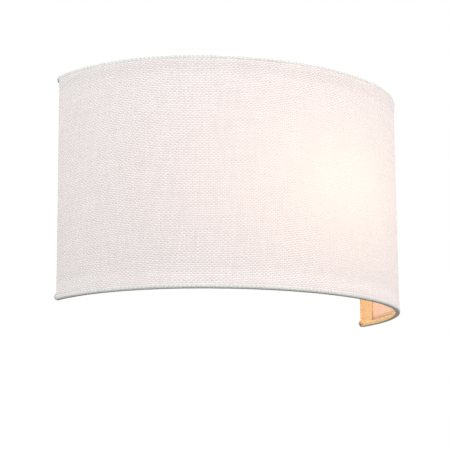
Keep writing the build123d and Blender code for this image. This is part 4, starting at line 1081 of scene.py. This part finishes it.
def lay_lead(name, route, diameter, node, bore=0.0):
    """A core, or a sleeve with a bore, along a route. It goes back into the light at its far end."""
    line = lead_line(name + "_line", route)
    rings, ring_map, length = rings_along(line, diameter / 2, sleeve_sides if bore else core_sides)
    if bore:
        points, quads = closed_rings(rings, rings_along(line, bore / 2, sleeve_sides)[0])
        cloth_map = np.concatenate([ring_map, ring_map[::-1]]).reshape(-1, 2)
        laid = link_mesh(name, points, quads, cloth_map=cloth_map)
    else:
        points, quads, caps = close_rings(rings)
        cloth_map = np.concatenate([ring_map.reshape(-1, 2), ring_map[[0, -1], 0]])
        laid = link_mesh(name, points, quads, caps, cloth_map)
    take_place(laid, "fixture", node)
    report_piece(laid)
    return laid


live_lead = lay_lead("live_lead", routes["live"], core_diameter, "live_core")
neutral_lead = lay_lead("neutral_lead", routes["neutral"], core_diameter, "neutral_core")
earth_lead = lay_lead("earth_lead", routes["earth"], core_diameter, "earth_core")
sleeve = lay_lead(
    "braided_sleeve", routes["sleeve"], sleeve_diameter, "lead_sleeve", bore=sleeve_bore
)

# %% [markdown]
# A jacket is soft plastic with a drawn grain. The earth core's yellow band winds along it, which is a sine of
# the length plus the turn. The braid is a plain weave turned by 45 degrees: the woven threads group gets the
# sum and the difference of the two lengths, so its threads lean one way and the other along the sleeve.

# %% The jackets' finishes
def jacket(name, pale, dark):
    """A core's insulation: soft plastic with a drawn grain."""
    return surfaced(
        name, pale, dark, 0.30, 0.42,
        coat=0.15, grain_depth=0.000006, Grain_Scale=2600.0, Patch_Scale=220.0, dust=0.2,
    )


brown_jacket = jacket("brown_jacket", (0.150, 0.062, 0.030), (0.105, 0.042, 0.020))
blue_jacket = jacket("blue_jacket", (0.045, 0.150, 0.400), (0.030, 0.105, 0.300))
earth_jacket = jacket("earth_jacket", (0.075, 0.300, 0.070), (0.050, 0.225, 0.050))
tree = earth_jacket.tree
on_core = parts_of(tree, own_map(tree))
wound_along = maths(tree, "MULTIPLY", on_core["X"], 950.0)
wound_around = maths(tree, "MULTIPLY", on_core["Y"], 1000.0)
winding = maths(tree, "SINE", maths(tree, "ADD", wound_along, wound_around))
recolour(earth_jacket, spread_out(tree, winding, -0.25, 0.25), (0.62, 0.55, 0.035, 1.0))
for laid, finish in ((live_lead, brown_jacket), (neutral_lead, blue_jacket), (earth_lead, earth_jacket)):
    laid.data.materials.append(finish.material)
print("three jackets finished")

# %% The braid's finish
glass_braid, tree, shader = new_finish("glass_braid")
on_sleeve = parts_of(tree, own_map(tree))
one_way, other_way = (maths(tree, kind, on_sleeve["X"], on_sleeve["Y"]) for kind in ("ADD", "SUBTRACT"))
leaning = wire(tree, "ShaderNodeCombineXYZ", one_way, other_way, 0.0)
braid_weave = {"Across_Pitch": 0.00092, "Up_Pitch": 0.00092, "Wander": 0.0003, "Slubs": 0.5}
braid = use_group(tree, threads, Map=leaning, **braid_weave)
handled = maths(tree, "MULTIPLY", use_group(tree, wear, Patch_Scale=90.0)["Patches"], 0.15)
colour = blend_colours(tree, braid["Tone"], (0.40, 0.37, 0.31, 1.0), (0.66, 0.63, 0.55, 1.0))
# Painted shade: the gaps between the braid's threads are darkened nearly to black.
colour = blend_colours(tree, maths(tree, "MULTIPLY", braid["Gap"], 0.7), colour, (0.10, 0.085, 0.07, 1.0))
colour = blend_colours(tree, handled, colour, (0.45, 0.36, 0.25, 1.0))
roughness = spread_out(tree, braid["Height"], 0.0, 1.2, 0.80, 0.52)
set_sockets(tree, shader, Base_Color=colour, Roughness=roughness)
raise_surface(tree, shader, braid["Height"], 0.00016)
sleeve.data.materials.append(glass_braid)
print("braid finish of", len(tree.nodes), "nodes")

# %% [markdown]
# The lamp's cap and the shell that takes it are thin sheet with a thread rolled into it: a round wave that
# climbs 3.6 mm for each turn. A Screw modifier winds a profile like that, but two shells that must nest are
# surer when both read one wave. It is shallow here, 0.4 mm, because the solids behind it are plain tubes.

# %% The rolled thread
thread_pitch, thread_depth, thread_fade = 0.003629, 0.0004, 0.002
thread_turn = round_turn(72)[None]


def rolled_wave(x, start, end, outward=False):
    """A wave over x that climbs one pitch a turn, or with outward what that wave leaves of its own fade.

    The wave is a half less half the cosine of 2 pi x / pitch less the turn, and it fades over the first and
    the last 2 mm."""
    fade = smooth_step(x, start, start + thread_fade) * smooth_step(-x, -end, -end + thread_fade)
    wave = 0.5 - 0.5 * np.cos(2 * np.pi * x / thread_pitch - thread_turn)
    return fade * (1 - wave if outward else wave)


def turned_rings(x, radius):
    """Rings about the lamp's axis: x along it, the radius times the cosine and sine of the turn across it."""
    y, z = lamp_axis_y + radius * np.cos(thread_turn), radius * np.sin(thread_turn)
    return np.stack(np.broadcast_arrays(x, y, z), -1)


def thread_piece(name, outer, inner, body, node):
    """A closed thin shell of aluminium from its outer and inner rings, in the place of a CAD node."""
    made = link_mesh(name, *closed_rings(outer, inner))
    take_place(made, body, node)
    made.data.materials.append(aluminium.material)
    report_piece(made)


print("thread of", round(thread_pitch * 1000, 2), "mm a turn")

# %% The lamp's cap
cap_low, cap_high = (np.array(corner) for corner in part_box("bulb_cap"))
cap_radius, cap_wall = (cap_high[2] - cap_low[2]) / 2, 0.00046
foot_step, foot_length, foot_wall, smooth_top = 0.0015, 0.0016, 0.00003, 0.0045
cap_x = np.linspace(cap_low[0], cap_high[0], 150)[:, None]
cap_turns = [cap_low[0], cap_low[0] + foot_length, cap_high[0]]
cap_dent = thread_depth * rolled_wave(cap_x, cap_turns[1], cap_high[0] - smooth_top)
cap_outside = np.interp(cap_x, cap_turns, [cap_radius - foot_step, cap_radius, cap_radius]) - cap_dent
cap_bore = [cap_radius - foot_step - foot_wall, cap_radius - cap_wall, cap_radius - cap_wall]
cap_inside = np.interp(cap_x, cap_turns, cap_bore)
cap_rings = turned_rings(cap_x, cap_outside), turned_rings(cap_x, cap_inside)
thread_piece("threaded_cap", *cap_rings, "bulb", "bulb_cap")

# %% The lampholder's shell
shell_low, shell_high = (np.array(corner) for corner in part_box("holder_shell"))
shell_radius, shell_wall, base_radius = (shell_high[2] - shell_low[2]) / 2, 0.0006, 0.0090
shell_x = np.linspace(shell_low[0], shell_high[0], 130)[:, None]
swelling = thread_depth * rolled_wave(shell_x, shell_low[0] + 0.0015, shell_high[0] - 0.0005, outward=True)
shell_outer = turned_rings(shell_x, shell_radius)
bore_x = np.maximum(shell_x, shell_low[0] + shell_wall)
shell_bore = turned_rings(bore_x, shell_radius - shell_wall + swelling)
base_outer, base_inner = (turned_rings(shell_x[:1] + lift, base_radius) for lift in (0.0, shell_wall))
shell_rings = np.concatenate([base_outer, shell_outer]), np.concatenate([base_inner, shell_bore])
thread_piece("threaded_shell", *shell_rings, "fixture", "holder_shell")

# %% [markdown]
# Behind the linen lies the sheet it is bonded to: stiff, smooth, half a millimetre thick, and stopping short
# of the rolls. Being smooth it takes the lamp's light evenly, and it is what glows peach where the inside
# shows. The sheet is white: its peach is painted lamp light in its colour, on top of the light of the lamp
# inside the globe. It bows a hair between its edges, as a rolled sheet does when glue pulls at it.

# %% The liner
liner_inset, liner_wall, liner_end, liner_level = 0.0018, 0.0005, 0.0045, 0.0830
bow_height, bow_count = 0.00008, 9


def stiff_liner():
    """The liner's grid: plan() at the liner's inset plus a bow that is nothing at its four edges.

    bow = height * sin(pi * count * share of the length) * sin(pi * share of the height)."""
    lengths = np.linspace(liner_end, outline_length - liner_end, 260)[None, :]
    heights = np.linspace(-liner_level, liner_level, 40)[:, None]
    length_share = (lengths - liner_end) / (outline_length - 2 * liner_end)
    height_share = (heights + liner_level) / (2 * liner_level)
    bow = bow_height * np.sin(bow_count * math.pi * length_share) * np.sin(math.pi * height_share)
    lengths, level = np.broadcast_arrays(lengths, heights)
    place, outward = plan(lengths, liner_inset + bow)
    points = np.concatenate([place, level[..., None]], -1)
    normals = np.concatenate([outward, np.zeros_like(level)[..., None]], -1)
    return points, normals, np.stack([lengths, level], -1)


liner_points, liner_out, liner_map = stiff_liner()
skins, quads = thick_sheet(liner_points, liner_out, liner_wall)
liner = link_mesh("shade_backing", skins, quads, cloth_map=np.tile(liner_map.reshape(-1, 2), (2, 1)))
take_place(liner, "shade", "shade_liner")
# Painted lamp light: the sheet itself is white, and these two colours are the peach that the lamp gives it.
liner_finish = surfaced(
    "lamp_tinted_backing", (0.85, 0.67, 0.53), (0.81, 0.63, 0.49), 0.36, 0.46,
    grain_depth=0.000006, Grain_Scale=1800.0, Patch_Scale=30.0, dust=0.2,
)
tree = liner_finish.tree
rolled = wire(tree, "ShaderNodeVectorMath", own_map(tree), (3.0, 900.0, 1.0), operation="MULTIPLY")
rolled_lines = spread_out(tree, cloud(tree, rolled, 1.0), 0.4, 0.6, 0.0, 0.06)
recolour(liner_finish, rolled_lines, (0.70, 0.62, 0.55, 1.0))
liner.data.materials.append(liner_finish.material)
report_piece(liner)

# %% The view transform, and the finish of the script
bpy.context.scene.view_settings.view_transform = "Standard"
